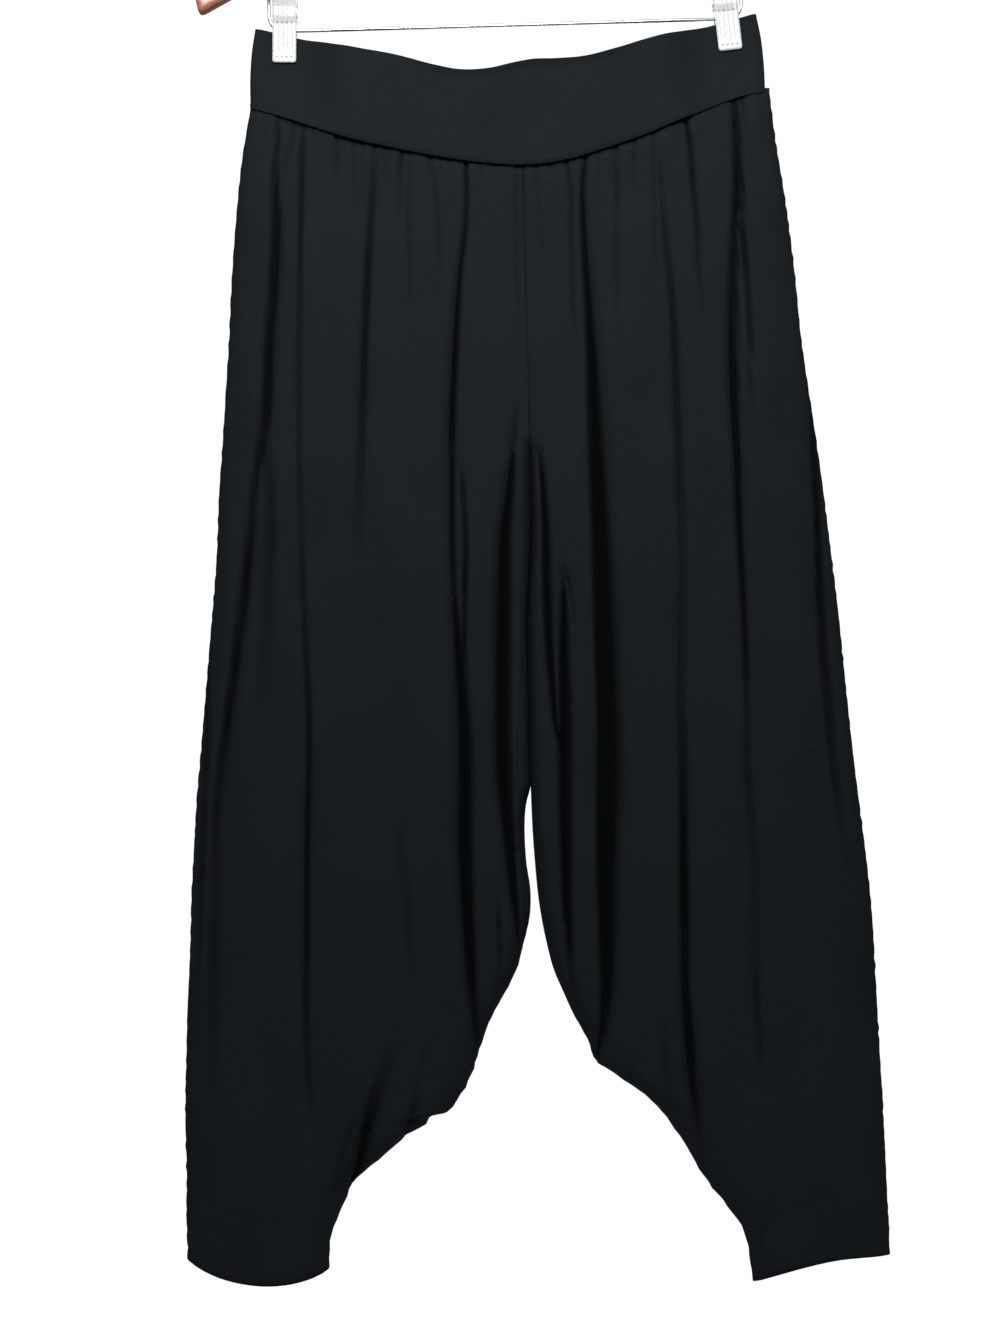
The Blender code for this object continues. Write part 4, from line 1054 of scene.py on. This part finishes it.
def band_grid(settings, face):
    """Places over the front or the back of the waistband, from one side seam to the other."""
    sign = -1 if face == "front" else 1
    uneven = waves(f"waistband {face}", 6, 0.22, (40, 130), (60, 200))
    pucker = waves(f"waistband seam {face}", 6, BAND_PUCKER.height, BAND_PUCKER.lengths, UNCHANGED)
    spread = np.sin(np.linspace(-math.pi / 2, math.pi / 2, BAND_COLUMNS))
    share = 0.55 * spread + 0.45 * np.linspace(-1, 1, BAND_COLUMNS)
    rows = []
    for down in np.linspace(0, 1, BAND_ROWS) ** 1.1:
        half = float(read(BAND_SIDES, "half_width", down))
        x = half * share
        top = read(BAND_TOP, face, x)
        seam = read(BAND_SEAM, "drop", x) - SEAM_GAP
        drop = top + (seam - top) * down
        depth = BAND_DEPTH * arc_height(half - np.abs(x), BAND_ROUND)
        rolled = ROLL_BACK * within(ROLL_SPAN, x) if face == "front" else ROLL_BACK_BEHIND
        soft = ease(0, BAND_SIDE, half - np.abs(x))
        depth = depth - rolled * (1 - ease(0, ROLL_DEEP, drop - top)) * soft
        depth = depth - SEAM_SINK * (1 - ease(0, SEAM_SINK_REACH, seam - drop)) * soft
        puckered = pucker(x, drop) * (1 - ease(2, BAND_PUCKER.reach, seam - drop))
        depth = depth + (uneven(x, drop) + puckered) * soft
        depth = pressed(depth, BAND_CLOSEST, x, drop)
        depth = np.maximum(depth, np.minimum(SEAM_GAP / 2 + 3 * soft, BAND_CLOSEST))
        curled = settings.groove / MM * (1 - ease(0, 2.5, half - np.abs(x)))
        x = x - np.sign(x) * curled
        along = np.concatenate([[0], np.cumsum(np.hypot(np.diff(x), np.diff(depth)))])
        # Painted shade under the rolled-back upper edge on the front
        fold = ROLL_SHADE * within(ROLL_SHADE_SPAN, x) * (1 - ease(3, ROLL_DEEP, drop - top))
        fold = fold * (face == "front")
        rows.append(np.column_stack([x, sign * depth, drop, fold, along]))
    return np.array(rows)


def hem_stitches(settings, leg, paint):
    """The hem's twin rows of stitching round one leg, sewn through the panels that are there already."""
    bm = bmesh.new()
    for face in FACES:
        grid = leg_panel(settings, leg, face)
        places = grid[:, :, :3]
        normals = outward(places, face)
        for line in (HEM_DEEP - TWIN_LINES, HEM_DEEP + TWIN_LINES):
            up = places[-1:, :, 2] - places[:, :, 2]
            count = np.arange(len(up))[::-1]
            found = np.array([np.interp(line, one[::-1], count) for one in up.T])
            low = np.floor(found).astype(int)
            high = np.minimum(low + 1, len(up) - 1)
            share = (found - low)[:, None]
            every = np.arange(up.shape[1])
            route = places[low, every] * (1 - share) + places[high, every] * share
            out_of = normals[low, every]
            long = np.concatenate([[0], np.cumsum(np.linalg.norm(np.diff(route, axis=0), axis=1))])
            pitch = settings.stitch / MM + STITCH_GAP
            for start in np.arange(2.0, long[-1] - 3.0, pitch):
                ends = [np.array([np.interp(s, long, route[:, k]) for k in range(3)])
                        for s in (start, start + settings.stitch / MM)]
                lift = np.array([np.interp(start, long, out_of[:, k]) for k in range(3)])
                add_stitch(bm, *(world(*(end + lift * 0.08)) for end in ends))
    return piece_from(bm, f"{leg}_hem_stitching", paint)


def add_stitch(bm, start, end):
    """One stitch: a short strand between two places, rounded at its ends."""
    made = bmesh.ops.create_uvsphere(bm, u_segments=6, v_segments=4, radius=0.5)
    along = end - start
    place = (
        Matrix.Translation((start + end) / 2)
        @ along.to_track_quat("Z", "Y").to_matrix().to_4x4()
        @ Matrix.Diagonal((STITCH_THICK * MM, STITCH_THICK * MM, along.length * 1.1, 1))
    )
    bmesh.ops.transform(bm, matrix=place, verts=made["verts"])


def hung(piece, node):
    """Hangs a piece of cloth on its body and hides the CAD node that it stands for."""
    part_of(piece, node)


def part_of(piece, node):
    """Hangs a piece on its body, and hides the CAD node that it stands for, if one is given."""
    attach(piece, "root")
    if node:
        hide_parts(node)


class HAREM_OT_waistband(bpy.types.Operator):
    """Make the front and the back of the waistband"""

    bl_idname = "harem.waistband"
    bl_label = "Waistband"

    def execute(self, context):
        settings = context.scene.harem_cloth
        for face in FACES:
            made, _ = cloth(f"waistband_{face}_knit", band_grid(settings, face), material(jersey, settings))
            add_modifier(made, "SOLIDIFY", thickness=settings.band_thickness, offset=-1)
            add_modifier(made, "BEVEL", width=BAND_EDGE * MM, segments=3, limit_method="ANGLE",
                         angle_limit=math.radians(60))
            hung(made, f"waistband_{face}")
        return {"FINISHED"}


class HAREM_OT_legs(bpy.types.Operator):
    """Make the front and back panels of both legs, with their creases, seams and hem stitching"""

    bl_idname = "harem.legs"
    bl_label = "Legs"

    def execute(self, context):
        settings = context.scene.harem_cloth
        paint = material(jersey, settings)
        for leg in SIDES:
            stitching = hem_stitches(settings, leg, material(thread, settings))
            part_of(stitching, None)
            for face in FACES:
                name = f"{leg}_leg_{face}"
                made, above_hem = cloth(f"{name}_knit", leg_panel(settings, leg, face), paint)
                turned_up = above_hem < HEM_DEEP + 1
                group = made.vertex_groups.new(name="hem")
                group.add(np.flatnonzero(turned_up).tolist(), 1.0, "REPLACE")
                group.add(np.flatnonzero(~turned_up).tolist(), 1 / HEM_LAYERS, "REPLACE")
                add_modifier(made, "SOLIDIFY", thickness=HEM_LAYERS * settings.thickness, offset=-1,
                             vertex_group=group.name)
                hung(made, name)
        return {"FINISHED"}


class HAREM_OT_clips(bpy.types.Operator):
    """Make the jaws and springs of the two clips"""

    bl_idname = "harem.clips"
    bl_label = "Clips"

    def execute(self, context):
        settings = context.scene.harem_hanger
        for leg in SIDES:
            mirror = -1 if leg == "right" else 1
            place = lean_clip(mirror, CLIP_LEAN[leg])
            for face in FACES:
                name = f"clip_{leg}_{face}_jaw"
                made = slab(f"{name}_moulding", *jaw_grids(face), material(clear_plastic, settings))
                made.data.transform(place)
                part_of(made, name)
            spring = wire(f"clip_{leg}_spring_coil", spring_route(-mirror, settings),
                          settings.spring_wire, material(plated_steel, settings), sides=2)
            spring.data.transform(place)
            part_of(spring, f"clip_{leg}_spring")
        return {"FINISHED"}


def jaw_grids(face):
    """The inner and the outer face of a clip's jaw: ribbed outside, with teeth at its tip."""
    sign = -1 if face == "front" else 1
    drops = np.linspace(JAW[0].drop, JAW[-1].drop, 150)
    inner_line = np.interp(drops, column(JAW, "drop")[::-1], column(JAW, "inner")[::-1])
    across = np.linspace(-1, 1, 56)
    inner, outer = [], []
    for drop, inside in zip(drops, inner_line):
        to_end = min(JAW[0].drop - drop, drop - JAW[-1].drop)
        half = JAW_WIDTH / 2 - JAW_CORNER * (1 - float(arc_height(np.array(to_end), JAW_CORNER)))
        x = half * across
        edge = 0.55 * (1 - ease(0, 1.0, np.minimum(half - np.abs(x), to_end)))
        ribbed = ease(4, 12, JAW[0].drop - drop) * ease(0, 2, half - np.abs(x))
        ribs = RIB_HEIGHT * np.cos(2 * math.pi * x / RIB_PITCH) * ribbed
        teeth = sum(np.exp(-((x - k) ** 2 + (drop - JAW[0].drop + 3.4) ** 2) / 0.5) for k in TEETH)
        studs = sum(np.exp(-((x - k) ** 2 + (drop + 6.0) ** 2) / 0.6) for k in STUDS)
        thick = JAW_THICK - edge + ribs - 1.0 * teeth - 1.1 * studs
        near = sign * (JAW_INNER + inside + 0.5 * edge)
        far = sign * (JAW_INNER + inside + thick)
        inner.append([world(a, b, drop) for a, b in zip(x, np.broadcast_to(near, x.shape))])
        outer.append([world(a, b, drop) for a, b in zip(x, far)])
    return np.array(inner), np.array(outer)


def spring_route(inward, settings):
    """A clip's spring: a close coil across the clip above the bar, its end turned into a loop at the
    clip's inner side."""
    turns = int(SPRING_LENGTH * MM / (settings.spring_wire * 1.08))
    radius = SPRING_RADIUS - settings.spring_wire / MM / 2
    route = []
    for k in range(turns * COIL_STEPS + 1):
        angle = 2 * math.pi * k / COIL_STEPS
        x = inward * SPRING_LENGTH * (k / (turns * COIL_STEPS) - 0.5)
        route.append(world(x, radius * math.sin(angle), SPRING_DROP + radius * math.cos(angle)))
    for k in range(1, 15):
        angle = math.pi * (k / 14 - 0.5)
        x = inward * (SPRING_LENGTH / 2 + 0.8 + 2.4 * math.cos(angle))
        route.append(world(x, 0, SPRING_DROP + 3.0 * math.sin(-angle)))
    return route


class HAREM_OT_hanger(bpy.types.Operator):
    """Make the hanger's wooden body, its hook and the bar that the clips slide on"""

    bl_idname = "harem.hanger"
    bl_label = "Hanger"

    def execute(self, context):
        settings = context.scene.harem_hanger
        body = wooden_body(settings)
        part_of(body, "hanger_wood")
        steel = material(plated_steel, settings)
        hook = wire("hanger_hook_wire", hook_route(settings), settings.hook_wire, steel)
        part_of(hook, "hanger_hook")
        bar = wire("hanger_bar_wire", bar_route(), settings.bar_wire, steel)
        part_of(bar, "hanger_bar")
        return {"FINISHED"}


def wooden_body(settings):
    """The hanger's bowed wooden body, its long edges rounded and its tips cut square to the arms."""
    columns, rows = 91, 5
    bm = bmesh.new()
    bmesh.ops.create_grid(bm, x_segments=columns - 1, y_segments=rows - 1, size=1)
    for vert in bm.verts:
        x = vert.co.x * ARM[-1].x
        share = -vert.co.y / 2
        cut = TIP_CUT * share * float(ease(0.8, 1.0, abs(vert.co.x)))
        rise = -arm(x, "lift") + arm(x, "height") * share
        vert.co = world(x - math.copysign(max(cut, -TIP_CUT), x), 0, rise)
    made = piece_from(bm, "hanger_wood_body", material(varnished_wood, settings))
    add_modifier(made, "SOLIDIFY", thickness=WOOD_THICK * MM, offset=0)
    add_modifier(made, "BEVEL", width=settings.edge, segments=5, limit_method="ANGLE",
                 angle_limit=math.radians(50))
    return made


def hook_route(settings):
    """The hook: a stem that sways out to one side and turns over the crown to its tip."""
    inner = settings.hook_radius / MM
    centre_drop = -BAR_DROP + inner
    foot = world(0, 0, -arm(0, "lift") - arm(0, "height") / 2 - SEAM_GAP)
    loop = turn(0, centre_drop, inner + settings.hook_wire / MM / 2, -38, 196, 90)
    along = (loop[1] - loop[0]).normalized()
    stem_top = foot + Vector((0, 0, 16 * MM))
    handles = (stem_top, stem_top + Vector((0, 0, 20 * MM)), loop[0] - along * 16 * MM, loop[0])
    sway = []
    for k in range(30):
        t = k / 30
        weights = ((1 - t) ** 3, 3 * t * (1 - t) ** 2, 3 * t * t * (1 - t), t**3)
        sway.append(sum((p * w for p, w in zip(handles, weights)), Vector()))
    return [foot] + sway + loop


def bar_route():
    """The bar, its ends bent up into the wood."""
    bend_x = BAR_END_X - BAR_BEND
    bend_drop = -BAR_LIFT - BAR_BEND
    into_wood = -arm(BAR_END_X, "lift") + arm(BAR_END_X, "height") / 2 + SEAM_GAP * 3
    return ([world(-BAR_END_X, 0, into_wood)] + turn(-bend_x, bend_drop, BAR_BEND, 180, 270, 16)
            + turn(bend_x, bend_drop, BAR_BEND, -90, 0, 16) + [world(BAR_END_X, 0, into_wood)])


class HAREM_OT_stage(bpy.types.Operator):
    """Make the floor, the studio's lights and the camera"""

    bl_idname = "harem.stage"
    bl_label = "Stage"

    def execute(self, context):
        settings = context.scene.harem_stage
        scene = context.scene
        scene.view_settings.view_transform = "Standard"
        surroundings = bpy.data.worlds.new("studio")
        surroundings.use_nodes = True
        tree = surroundings.node_tree
        tree.nodes.clear()
        ray = add_node(tree, "LightPath")
        seen = add_node(tree, "Math", operation="MULTIPLY_ADD", inputs={
            0: ray.outputs["Is Camera Ray"], 1: BACKDROP - settings.sky, 2: settings.sky})
        sky = add_node(tree, "Background", {"Color": (1, 1, 1, 1), "Strength": seen.outputs["Value"]})
        add_node(tree, "OutputWorld", {"Surface": sky.outputs["Background"]})
        scene.world = surroundings
        bm = bmesh.new()
        bmesh.ops.create_circle(bm, cap_ends=True, segments=96, radius=FLOOR_RADIUS)
        bmesh.ops.translate(bm, verts=bm.verts, vec=(0, 0, FLOOR_Z))
        mesh = bpy.data.meshes.new("floor")
        bm.to_mesh(mesh)
        bm.free()
        add_piece("floor", mesh, material(floor_paint, settings))
        for lamp in LAMPS:
            light = bpy.data.lights.new(lamp.name, "AREA")
            light.shape = "DISK"
            light.size = lamp.size
            light.energy = lamp.power
            made = add_object(lamp.name, light)
            made.location = lamp.place
            made.rotation_euler = (Vector(AIM) - Vector(lamp.place)).to_track_quat("-Z", "Y").to_euler()
        camera = bpy.data.cameras.new("camera")
        camera.lens = settings.lens
        distance = settings.view_height * settings.lens / camera.sensor_width
        made = add_object("camera", camera)
        made.matrix_world = (
            Matrix.Translation((AIM[0], AIM[1] - distance, AIM[2]))
            @ Matrix.Rotation(math.pi / 2, 4, "X")
            @ Matrix.Rotation(settings.roll, 4, "Z")
        )
        scene.camera = made
        return {"FINISHED"}


class HAREM_PT_panel(bpy.types.Panel):
    """Lists the steps that make the pants, their hanger and the stage"""

    bl_label = "Harem pants"
    bl_idname = "HAREM_PT_panel"
    bl_space_type = "VIEW_3D"
    bl_region_type = "UI"
    bl_category = "Harem pants"

    def draw(self, context):
        for step in STEPS:
            self.layout.operator(step.bl_idname)


STEPS = (HAREM_OT_stage, HAREM_OT_waistband, HAREM_OT_legs, HAREM_OT_clips, HAREM_OT_hanger)
GROUPS = {"harem_cloth": ClothSettings, "harem_hanger": HangerSettings, "harem_stage": StageSettings}


def register():
    for kind in (*GROUPS.values(), *STEPS, HAREM_PT_panel):
        bpy.utils.register_class(kind)
    for name, kind in GROUPS.items():
        setattr(bpy.types.Scene, name, PointerProperty(type=kind))


def unregister():
    for name in GROUPS:
        delattr(bpy.types.Scene, name)
    for kind in (HAREM_PT_panel, *reversed(STEPS), *reversed(GROUPS.values())):
        bpy.utils.unregister_class(kind)


def main():
    register()
    for step in STEPS:
        group, name = step.bl_idname.split(".")
        getattr(getattr(bpy.ops, group), name)()


if __name__ == "__main__":
    main()
